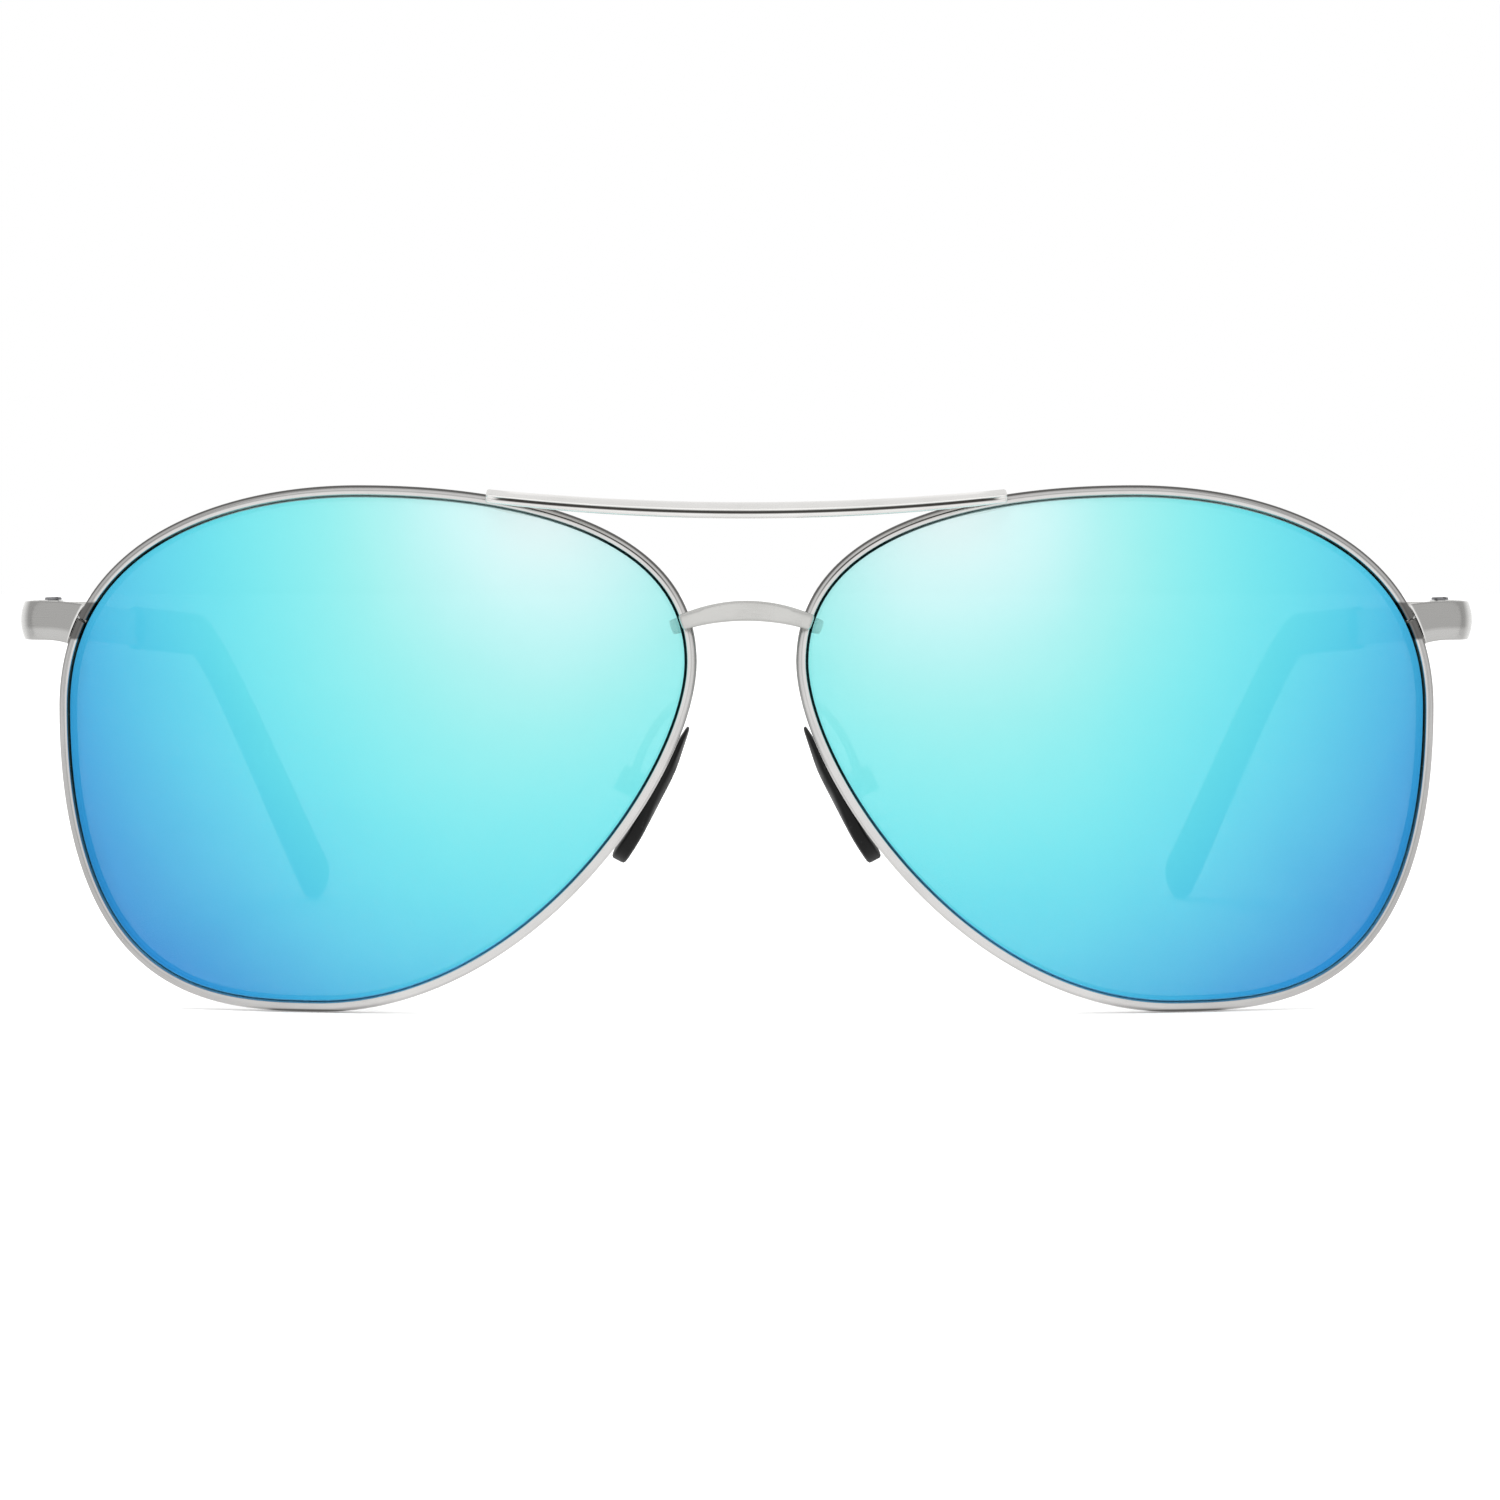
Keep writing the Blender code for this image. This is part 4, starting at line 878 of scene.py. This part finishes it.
def endpiece_shells():
    """A crowned strip: straight out from the rim, round a quarter circle, and back to the hinge.

    Its inner end is cut to follow the rim, so that end's x is the rim's reach at each height, and
    it dips towards the rim by a square law.
    """
    half = STRIP_THICKNESS / 2
    middle_x = STRIP_OUTER_X - half
    front_y = END_LOW[1] + half
    radius = END_BEND - half
    bend = np.radians(np.linspace(-90, 0, 15))
    bend_x = STRIP_OUTER_X - END_BEND
    arc = np.stack(
        [bend_x + radius * np.cos(bend), END_LOW[1] + END_BEND + radius * np.sin(bend)], axis=1
    )
    start_x = END_LOW[0] + 0.9 * MM
    front = np.stack([np.linspace(start_x, bend_x, 14)[:-1], np.full(13, front_y)], axis=1)
    butt = HINGE_Y - BUTT_GAP / 2
    back = np.stack([np.full(6, middle_x), np.linspace(arc[-1, 1], butt, 7)[1:]], axis=1)
    flat = np.vstack([front, arc, back])
    path = np.column_stack([flat, np.full(len(flat), HINGE_MIDDLE)])
    travelled = length_along(path)
    share = travelled / travelled[-1]
    crown = np.interp(share, (0.0, 0.75, 1.0), (END_CROWN, END_CROWN, 0.12 * MM))
    sections = np.array([strip_section(c) for c in crown])
    rings = sweep(path, sections)
    sloped = np.clip((bend_x - rings[..., 0]) / (bend_x - start_x), 0.0, 1.0)
    rings[..., 2] -= END_DIP * sloped**2
    cut = rim_side(rings[..., 2]) + SEAM
    on_front = (rings[..., 0] < bend_x) & (np.arange(len(rings)) < len(front))[:, None]
    moved = bend_x - (bend_x - rings[..., 0]) / (bend_x - start_x) * (bend_x - cut)
    rings[..., 0] = np.where(on_front, moved, rings[..., 0])
    # The cut end is bevelled a little on its face, where the file has broken the edge.
    bevel = rings[:1].copy()
    bevel[..., 1] += np.clip(front_y - bevel[..., 1], 0.0, None) * 0.35
    rings[0, :, 0] += 0.18 * MM
    return [shell(np.concatenate([bevel, rings]), np.concatenate([sections[:1], sections]))]


TEMPLE_STRAIGHT = 7.5 * MM
TEMPLE_TO_BEND = 84.0 * MM
TEMPLE_LEAN = 5.0 * MM
TEMPLE_DROOP = 3.2 * MM
TIP_REACH_BACK = 40.0 * MM
TIP_REACH_IN = 11.2 * MM
TIP_DROP_ANGLE = math.radians(47.0)
BEND_HANDLE = 11.0 * MM
DROP_HANDLE = 20.0 * MM
SLEEVE_START = 50.0 * MM
SLEEVE_TALL = 4.9 * MM
SLEEVE_THICKNESS = 2.4 * MM
PADDLE_TALL = 6.4 * MM
PADDLE_THICKNESS = 2.8 * MM
CORE_SHORT_OF_END = 14.0 * MM


TEMPLE_START = np.array(
    (STRIP_OUTER_X - STRIP_THICKNESS / 2, HINGE_Y + BUTT_GAP / 2, HINGE_MIDDLE)
)
STRAIGHT_END = TEMPLE_START + (0.0, TEMPLE_STRAIGHT, 0.0)
BEND_START = TEMPLE_START + (-TEMPLE_LEAN, TEMPLE_TO_BEND, -TEMPLE_DROOP)

# The distance along the temple at which its plastic sleeve starts.
SLEEVE_AT = TEMPLE_STRAIGHT + np.linalg.norm(BEND_START - STRAIGHT_END) * (
    (SLEEVE_START - TEMPLE_STRAIGHT) / (TEMPLE_TO_BEND - TEMPLE_STRAIGHT)
)


def temple_path(end_height):
    """The temple's middle line: level at the leaf, straight with a lean and droop, then a cubic."""
    ahead = (BEND_START - STRAIGHT_END) / np.linalg.norm(BEND_START - STRAIGHT_END)
    end = np.array((BEND_START[0] - TIP_REACH_IN, BEND_START[1] + TIP_REACH_BACK, end_height))
    fall = np.array((-0.25, math.cos(TIP_DROP_ANGLE), -math.sin(TIP_DROP_ANGLE)))
    blend = 1.2 * MM
    leaf_end = STRAIGHT_END - (0.0, blend, 0.0)
    turn = cubic(
        leaf_end, leaf_end + (0, 0.7 * blend, 0), STRAIGHT_END + 0.3 * blend * ahead,
        STRAIGHT_END + blend * ahead, 7,
    )
    drop = cubic(BEND_START, BEND_START + BEND_HANDLE * ahead, end - DROP_HANDLE * fall, end, 61)
    return np.vstack([TEMPLE_START, turn, drop])


def smooth_step(value):
    value = np.clip(value, 0.0, 1.0)
    return value * value * (3 - 2 * value)


# The rolled lip at the sleeve's mouth: the distance in, in mm, and the share of the full size.
MOUTH_LIP = ((0.0, 0.86), (0.06, 0.93), (0.16, 0.97), (0.32, 0.99), (0.6, 1.0), (1.0, 1.0))


def tip_shells(path):
    """The sleeve over the strip's core: an oval tube, growing by a square law to a round paddle.

    Its section is a superellipse, across = a sgn(cos) |cos|^0.8 and up = b sgn(sin) |sin|^0.8,
    with a small rolled lip at the mouth.
    """
    along = length_along(path)
    length = along[-1]
    start = SLEEVE_AT + SEAM
    round_end = 0.5 * PADDLE_TALL
    body_end = length - round_end
    lip_at, lip_size = np.array(MOUTH_LIP).T
    body = np.linspace(start + 1.4 * MM, body_end, 70)
    closing = length - round_end * (1 - np.sin(np.radians(np.linspace(8, 88, 12))))
    where = np.concatenate([start + lip_at * MM, body, closing])
    points = read_at(where, along, path)
    grown = np.clip((where - start) / (body_end - start), 0.0, 1.0) ** 2
    tall = SLEEVE_TALL + (PADDLE_TALL - SLEEVE_TALL) * grown
    thick = SLEEVE_THICKNESS + (PADDLE_THICKNESS - SLEEVE_THICKNESS) * grown
    shrink = np.sqrt(1 - np.clip((where - body_end) / round_end, 0.0, 1.0) ** 2)
    lip = np.interp(where - start, lip_at * MM, lip_size)
    turn = np.linspace(0, 2 * math.pi, 41)[:-1]
    across = np.sign(np.cos(turn)) * np.abs(np.cos(turn)) ** 0.8 / 2
    up = np.sign(np.sin(turn)) * np.abs(np.sin(turn)) ** 0.8 / 2
    size = (shrink * lip)[:, None]
    sections = np.stack([across * thick[:, None] * size, up * tall[:, None] * size], axis=-1)
    outer = sweep(points, sections)
    depth = np.linspace(length - CORE_SHORT_OF_END, start, 30)
    cavity = filleted(
        np.array(((0.55, 1.0), (-0.55, 1.0), (-0.55, -1.0), (0.55, -1.0))) * MM, 0.2 * MM, 9
    )
    cavities = np.broadcast_to(cavity, (len(depth), *cavity.shape))
    inner = np.roll(sweep(read_at(depth[::-1], along, path), cavities), -5, axis=1)[::-1]
    return [shell(np.concatenate([inner, outer]), np.concatenate([cavities, sections]))]


def arm_shells(path):
    """The temple's flat strip, its outside slightly crowned, then the core inside the sleeve."""
    along = length_along(path)
    shoulder = SLEEVE_AT - 0.2 * MM
    where = np.concatenate(
        [
            (0.0, 0.1 * MM),
            np.linspace(0.5 * MM, shoulder - 0.1 * MM, 60),
            (shoulder, shoulder + 0.01 * MM),
            np.linspace(SLEEVE_AT, along[-1] - CORE_SHORT_OF_END - 0.2 * MM, 30),
        ]
    )
    strip = strip_section(0.10 * MM)
    core = strip_section(0.02 * MM, 0.9 * MM, 1.8 * MM)
    sections = np.where(where[:, None, None] > shoulder + 0.005 * MM, core, strip)
    sections[0] = strip * 0.94
    sections[61] = strip * 0.97
    return [shell(sweep(read_at(where, along, path), sections), sections)]


# ---- small turned and slotted parts ----


def about_axis(across, beside, level, axis, centre):
    """Points laid on an axis through the centre: Z is upright, and Y is front to back."""
    order = (across, beside, level) if axis == "Z" else (across, level, beside)
    return np.stack(order, axis=-1) + centre


def turned_rings(profile, centre, axis, count=40):
    """A profile of (radius, distance) pairs turned about an axis: radius * (cos a, sin a)."""
    angle = np.arange(count) * 2 * math.pi / count
    radius, distance = np.array(profile, float).T
    across = radius[:, None] * np.cos(angle)
    beside = radius[:, None] * np.sin(angle)
    level = np.broadcast_to(distance[:, None], across.shape)
    return about_axis(across, beside, level, axis, centre)


def slotted_head(radius, seat, top, centre, axis, turn):
    """A screw's head with a slot: upright slices across the slot, each half a chord high.

    A slice at x is 2 * root(r^2 - x^2) long, and its top is lower by the slot's depth between
    the slot's two walls. Its corners are rounded.
    """
    wall = 0.16 * radius / 0.85
    depth = 0.5 * abs(top - seat)
    up = math.copysign(1.0, top - seat)
    side = np.sin(np.radians(np.linspace(-88, 88, 27))) * radius
    outside = side[np.abs(side) > wall]
    x = np.sort(np.concatenate([outside, (-wall, -wall + 1e-6, 0.0, wall - 1e-6, wall)]))
    chord = np.sqrt(radius**2 - x**2)
    domed = top - up * 0.25 * abs(top - seat) * (x / radius) ** 2
    high = np.where(np.abs(x) < wall - 5e-7, top - up * depth, domed)
    rings = []
    for place, half, level in zip(x, chord, high):
        corners = ((half, seat), (half, level), (-half, level), (-half, seat))
        ring = filleted(corners, (0.0, 0.12 * MM, 0.12 * MM, 0.0), 4)
        rings.append(np.column_stack([np.full(len(ring), place), ring]))
    rings = np.array(rings)
    c, s = math.cos(turn), math.sin(turn)
    across = rings[..., 0] * c - rings[..., 1] * s
    beside = rings[..., 0] * s + rings[..., 1] * c
    return about_axis(across, beside, rings[..., 2], axis, centre)


def screw_shells(node, axis, shank, head, head_tall, head_at, turn):
    """A screw that fills its CAD node's box: a shank with a broken end, and a slotted head."""
    low, high = box_of(node)
    centre = (low + high) / 2
    k = 2 if axis == "Z" else 1
    centre[k] = 0.0
    if head_at == "high":
        top, end = high[k], low[k]
        seat = top - head_tall
    else:
        top, end = low[k], high[k]
        seat = top + head_tall
    inward = math.copysign(0.12 * MM, end - seat)
    profile = [(shank * 0.75, end), (shank, end - inward), (shank, seat)]
    return [
        shell(turned_rings(profile, centre, axis)),
        shell(slotted_head(head, seat, top, centre, axis, turn)),
    ]


# ---- nose pads ----

PAD_FLARE = math.radians(27.6)
PAD_DOWN = np.array((math.sin(PAD_FLARE), 0.0, -math.cos(PAD_FLARE)))
PAD_OUT = np.array((math.cos(PAD_FLARE), 0.0, math.sin(PAD_FLARE)))
PAD_BACK = np.array(
    (BETWEEN_LENSES / 2 + 4.3 * MM, LENS_APEX_Y + 9.2 * MM, LENS_CENTRE_Z - 4.4 * MM)
)
PAD_LENGTH = 15.2 * MM
PAD_WIDTH = 7.6 * MM
PAD_THICKNESS = 1.6 * MM
PAD_BOX_STANDOFF = 0.9 * MM
PAD_BOX_LENGTH = 2.6 * MM
PAD_BOX_DEPTH = 2.35 * MM
PAD_ARM_RADIUS = 0.45 * MM


def pad_frame(out, back, down):
    """Points from the middle of the pad's back: out to the lens, back along Y, and down."""
    places = zip((out, back, down), (PAD_OUT, np.array((0.0, 1.0, 0.0)), PAD_DOWN))
    return PAD_BACK + sum(np.asarray(place)[..., None] * axis for place, axis in places)


def nose_pad_shells():
    """A soft pad: ovals (w cos a, l sin a), a little wider below, stacked through its thickness.

    At height h over the back, -1 to 1, an oval's size is (1 - |h|^p)^(1/p). p is 5 on the back,
    and on the face it runs from 2.6 at the upper end to 9 at the lower one, which is cut square.
    The pad thins to half its thickness at its upper end, and its back swells at the lower one.
    """
    angle = np.linspace(0, 2 * math.pi, 73)[:-1]
    square = np.sign(np.sin(angle)) * np.abs(np.sin(angle)) ** np.where(np.sin(angle) > 0, 0.62, 1)
    oval_back = np.cos(angle) * PAD_WIDTH / 2 * (1 + 0.12 * np.sin(angle))
    oval_down = square * PAD_LENGTH / 2
    rise = np.sin(np.radians(np.linspace(-86, 86, 29)))[:, None]
    face_power = 2.6 + 6.4 * smooth_step(square)
    power = np.where(rise < 0, 5.0, face_power)
    size = (1 - np.abs(rise) ** power) ** (1 / power)
    depth = np.clip(rise, None, 0) * 0.35 + np.clip(rise, 0, None) * 0.65 + 0.35
    back = size * oval_back
    down = size * oval_down
    along = down / (PAD_LENGTH / 2)
    thin = 1 - 0.5 * smooth_step((-along - 0.3) / 0.7)
    heel = smooth_step((along - 0.5) / 0.5)
    out = -depth * PAD_THICKNESS * thin * (1 - 0.1 * heel) - (1 - thin) * 0.45 * PAD_THICKNESS
    out = out + 0.45 * MM * heel * np.clip(0.6 - depth, 0.0, 0.6) / 0.6
    return [shell(pad_frame(out, back, down))]


def pad_arm_path():
    """The wire's line: from the back of the rim, back and round, down to the end of the box."""
    surface = rim_points(72)
    level = surface[:, :, 2].mean(axis=1)
    foot_height = LENS_CENTRE_Z + 4.4 * MM
    nasal = surface[:, 0, 0] < LENS_CENTRE_X
    away = np.where(nasal, np.abs(level - foot_height), np.inf)
    station = surface[int(np.argmin(away))]
    arm_low, _ = box_of("left_pad_arm")
    foot = np.array((station[:, 0].mean(), arm_low[1], foot_height))
    top = pad_frame(PAD_BOX_STANDOFF + PAD_BOX_DEPTH / 2, 0.0, -PAD_BOX_LENGTH / 2 - SEAM)
    back = np.array((0.6, 5.4, 0.6)) * MM
    return cubic(foot, foot + back, top - 4.6 * MM * PAD_DOWN + 0.9 * MM * PAD_OUT, top, 61)


def pad_arm_shells():
    """A round wire, swollen where it is brazed to the rim and flattened where it meets the box."""
    path = pad_arm_path()
    at = length_along(path)
    swell = 1 + 0.55 * np.exp(-at / (0.35 * MM)) + 0.25 * np.exp((at - at[-1]) / (0.25 * MM))
    angle = np.arange(28) * 2 * math.pi / 28
    ring = PAD_ARM_RADIUS * np.stack([np.cos(angle), np.sin(angle)], axis=1)
    sections = ring[None] * swell[:, None, None]
    rings = sweep(path, sections, up=(0.35, 0.0, 1.0))
    rings[0, :, 1] = path[0, 1]
    rings[-1] -= ((rings[-1] - path[-1]) @ PAD_DOWN)[:, None] * PAD_DOWN
    return [shell(rings, sections)]


# ---- assembly ----

piece(
    "brow_bar_piece",
    bar_shells("brow_bar", 1.45 * MM, 1.65 * MM, 1.35 * MM, 1.3 * MM, BROW_FACE, 0.3 * MM),
    1, (BAR_SILVER,), "front", ("brow_bar",),
)
piece(
    "bridge_piece",
    bar_shells("bridge", -1.2 * MM, 2.0 * MM, 1.5 * MM, 1.2 * MM, BRIDGE_FACE, 0.2 * MM),
    1, (SILVER,), "front", ("bridge",),
)

# The tips stand on the floor: the path's end is raised until its lowest point is the CAD tip's.
tip_floor = box_of("left_temple_tip")[0][2]
end_height = tip_floor + PADDLE_TALL / 2
for _ in range(4):
    lowest = tip_shells(temple_path(end_height))[0][0][:, 2].min()
    end_height += tip_floor - lowest
left_path = temple_path(end_height)

SLOT_TURN = {"left": math.radians(24.0), "right": math.radians(-37.0)}
LENS_SHARP = 30.0

for side_name, side in (("left", 1), ("right", -1)):
    temple = f"{side_name}_temple"
    pad = f"{side_name}_pad"
    turn = SLOT_TURN[side_name]
    rim = shell(rim_points(RIM_COLUMNS), rim_section())
    sleeve = tip_shells(left_path)
    pieces = [
        ("rim_wire", [rim], (RIM_SILVER,), "satin_metal", "front", "rim"),
        ("mirror_lens", lens_shells(), (COATING, EDGE, TINT), "mirror_lens", "front", "lens"),
        ("end_strip", endpiece_shells(), (END_SILVER,), "satin_metal", "front", "endpiece"),
        ("temple_strip", arm_shells(left_path), (SILVER,), "satin_metal", temple, "temple_arm"),
        ("tip_sleeve", sleeve, (TIP_PLASTIC,), "black_plastic", temple, "temple_tip"),
        ("pad_wire", pad_arm_shells(), (SILVER,), "satin_metal", "front", "pad_arm"),
        ("soft_pad", nose_pad_shells(), (SILICONE,), "black_silicone", pad, "nose_pad"),
    ]
    for part, axis, shank, head, tall, head_at in (
        ("hinge_screw", "Z", 0.55 * MM, 0.85 * MM, 0.3 * MM, "high"),
        ("closing_screw", "Z", 0.5 * MM, 0.85 * MM, 0.4 * MM, "low"),
        ("pad_screw", "Y", 0.4 * MM, 0.75 * MM, 0.4 * MM, "high"),
    ):
        shells = screw_shells(f"left_{part}", axis, shank, head, tall, head_at, turn)
        pieces.append((f"slotted_{part}", shells, (STEEL,), "screw_steel", "front", part))
    for part, shells, finishes, slot, body, cad_part in pieces:
        sharp = LENS_SHARP if part == "mirror_lens" else PIECE_SHARP
        nodes = (f"{side_name}_{cad_part}",)
        piece(f"{side_name}_{part}", shells, side, finishes, body, nodes, sharp)
    for part, rounding, look, slot, body in (
        ("hinge_front", 0.09 * MM, SILVER, "satin_metal", "front"),
        ("hinge_temple", 0.09 * MM, SILVER, "satin_metal", temple),
        ("closing_block_upper", 0.12 * MM, SILVER, "satin_metal", "front"),
        ("closing_block_lower", 0.12 * MM, SILVER, "satin_metal", "front"),
        ("pad_box", 0.1 * MM, SILVER, "satin_metal", "front"),
        ("pad_insert", 0.06 * MM, STEEL, "screw_steel", pad),
        ("hinge_washer_upper", 0.03 * MM, NYLON, "clear_nylon", "front"),
        ("hinge_washer_lower", 0.03 * MM, NYLON, "clear_nylon", "front"),
    ):
        softened(f"{side_name}_{part}", rounding, (look,), body)


# ---- stage, light and camera ----


FLOOR_RADII = (0.02, 0.3, 1.0, 4.0)
FLOOR_SIDES = 64
FLOOR_BELOW = 0.05 * MM
FLOOR_GLOW_OVER = (0.15, 1.5)
FLOOR_GLOW = (0.2, 0.48)


def add_floor():
    """A wide pale disc, brightened a little by itself so that only contact shadows show."""
    around = np.arange(FLOOR_SIDES)
    following = (around + 1) % FLOOR_SIDES
    angle = around * 2 * math.pi / FLOOR_SIDES
    circle = np.stack([np.cos(angle), np.sin(angle)], axis=1)
    points = np.vstack([radius * circle for radius in FLOOR_RADII])
    points = np.column_stack([points, np.full(len(points), -FLOOR_BELOW)])
    faces = [around.tolist()]
    for start in range(0, len(points) - FLOOR_SIDES, FLOOR_SIDES):
        outer = start + FLOOR_SIDES
        ring = (start + around, outer + around, outer + following, start + following)
        faces += np.stack(ring, axis=1).tolist()
    mesh = bpy.data.meshes.new("floor")
    mesh.from_pydata(points.tolist(), [], faces)
    made = bpy.data.objects.new("floor", mesh)
    bpy.context.scene.collection.objects.link(made)
    paint, shader, _, place = material("floor_paint")
    feed(shader, {"Base Color": (0.9, 0.9, 0.9, 1.0), "Roughness": 0.9})
    away = node(paint.node_tree, "ShaderNodeVectorMath", {0: place}, operation="LENGTH")
    glow = spread(away.outputs["Value"], *FLOOR_GLOW_OVER, *FLOOR_GLOW)
    inputs = {"Specular IOR Level": 0.0, "Emission Color": glow, "Emission Strength": 1.0}
    feed(shader, inputs)
    mesh.materials.append(paint)
    made.visible_glossy = False


def add_lamp(name, place, aim, size, power):
    """A large soft lamp aimed at a point."""
    data = bpy.data.lights.new(name, "AREA")
    data.shape = "DISK"
    data.size = size
    data.energy = power
    lamp = bpy.data.objects.new(name, data)
    lamp.location = place
    lamp.rotation_euler = (Vector(aim) - Vector(place)).to_track_quat("-Z", "Y").to_euler()
    lamp.visible_glossy = False
    lamp.visible_camera = False
    bpy.context.scene.collection.objects.link(lamp)


# The studio's lobes: (from, to) of how far ahead or how high a direction points, then the light.
FRONT_LOBE = (0.40, 0.52)
BESIDE_LOBE = (0.47, 0.37, 0.0, 0.75)
BEHIND_LOBE = (-0.4, -0.7)
BELOW_LOBE = (-0.3, -0.6, 0.0, 0.9)
STRAIGHT_BELOW = (-0.9, -0.98, 1.0, 0.55)
ABOVE_LOBE = (0.75, 0.93, 0.0, 0.5)
DIMMEST = 0.24


def add_surroundings():
    """A studio's light by direction: bright in front and above, darker to the sides."""
    world = bpy.data.worlds.new("studio")
    bpy.context.scene.world = world
    world.use_nodes = True
    tree = world.node_tree
    tree.nodes.clear()
    direction = node(tree, "ShaderNodeTexCoord").outputs["Generated"]
    split = parts_of(direction)
    ahead = product(split["Y"], -1.0)
    lobes = [spread(ahead, *lobe) for lobe in (FRONT_LOBE, BESIDE_LOBE, BEHIND_LOBE)]
    below = product(spread(split["Z"], *BELOW_LOBE), spread(split["Z"], *STRAIGHT_BELOW))
    light = largest(*lobes, below, spread(split["Z"], *ABOVE_LOBE))
    light = spread(light, 0.0, 1.0, DIMMEST, 1.0)
    shown = node(tree, "ShaderNodeBackground", {"Color": light, "Strength": 1.0})
    backdrop = node(tree, "ShaderNodeBackground", {"Color": (1, 1, 1, 1), "Strength": 1.0})
    seen = node(tree, "ShaderNodeLightPath").outputs["Is Camera Ray"]
    mix = node(tree, "ShaderNodeMixShader", {0: seen, 1: shown.outputs[0], 2: backdrop.outputs[0]})
    node(tree, "ShaderNodeOutputWorld", {"Surface": mix.outputs[0]})


add_floor()
add_surroundings()
add_lamp("overhead", (-0.15, -0.15, 0.95), (0.0, -0.02, 0.0), 0.7, 10.0)
add_lamp("side_fill", (0.8, -0.5, 0.5), (0.0, 0.0, 0.02), 0.6, 1.5)
bpy.context.scene.view_settings.view_transform = "Standard"

CAMERA_X = 0.35 * MM
CAMERA_DISTANCE = 400.0 * MM
CAMERA_HEIGHT = 45.7 * MM
AIM_HEIGHT = 26.3 * MM

camera_data = bpy.data.cameras.new("camera")
camera_data.sensor_width = 36.0
camera_data.lens = 97.92
camera_data.clip_start = 0.01
camera = bpy.data.objects.new("camera", camera_data)
camera.location = (CAMERA_X, LENS_APEX_Y - CAMERA_DISTANCE, CAMERA_HEIGHT)
aim = Vector((CAMERA_X, LENS_APEX_Y, AIM_HEIGHT))
camera.rotation_euler = (aim - camera.location).to_track_quat("-Z", "Y").to_euler()
bpy.context.scene.collection.objects.link(camera)
bpy.context.scene.camera = camera
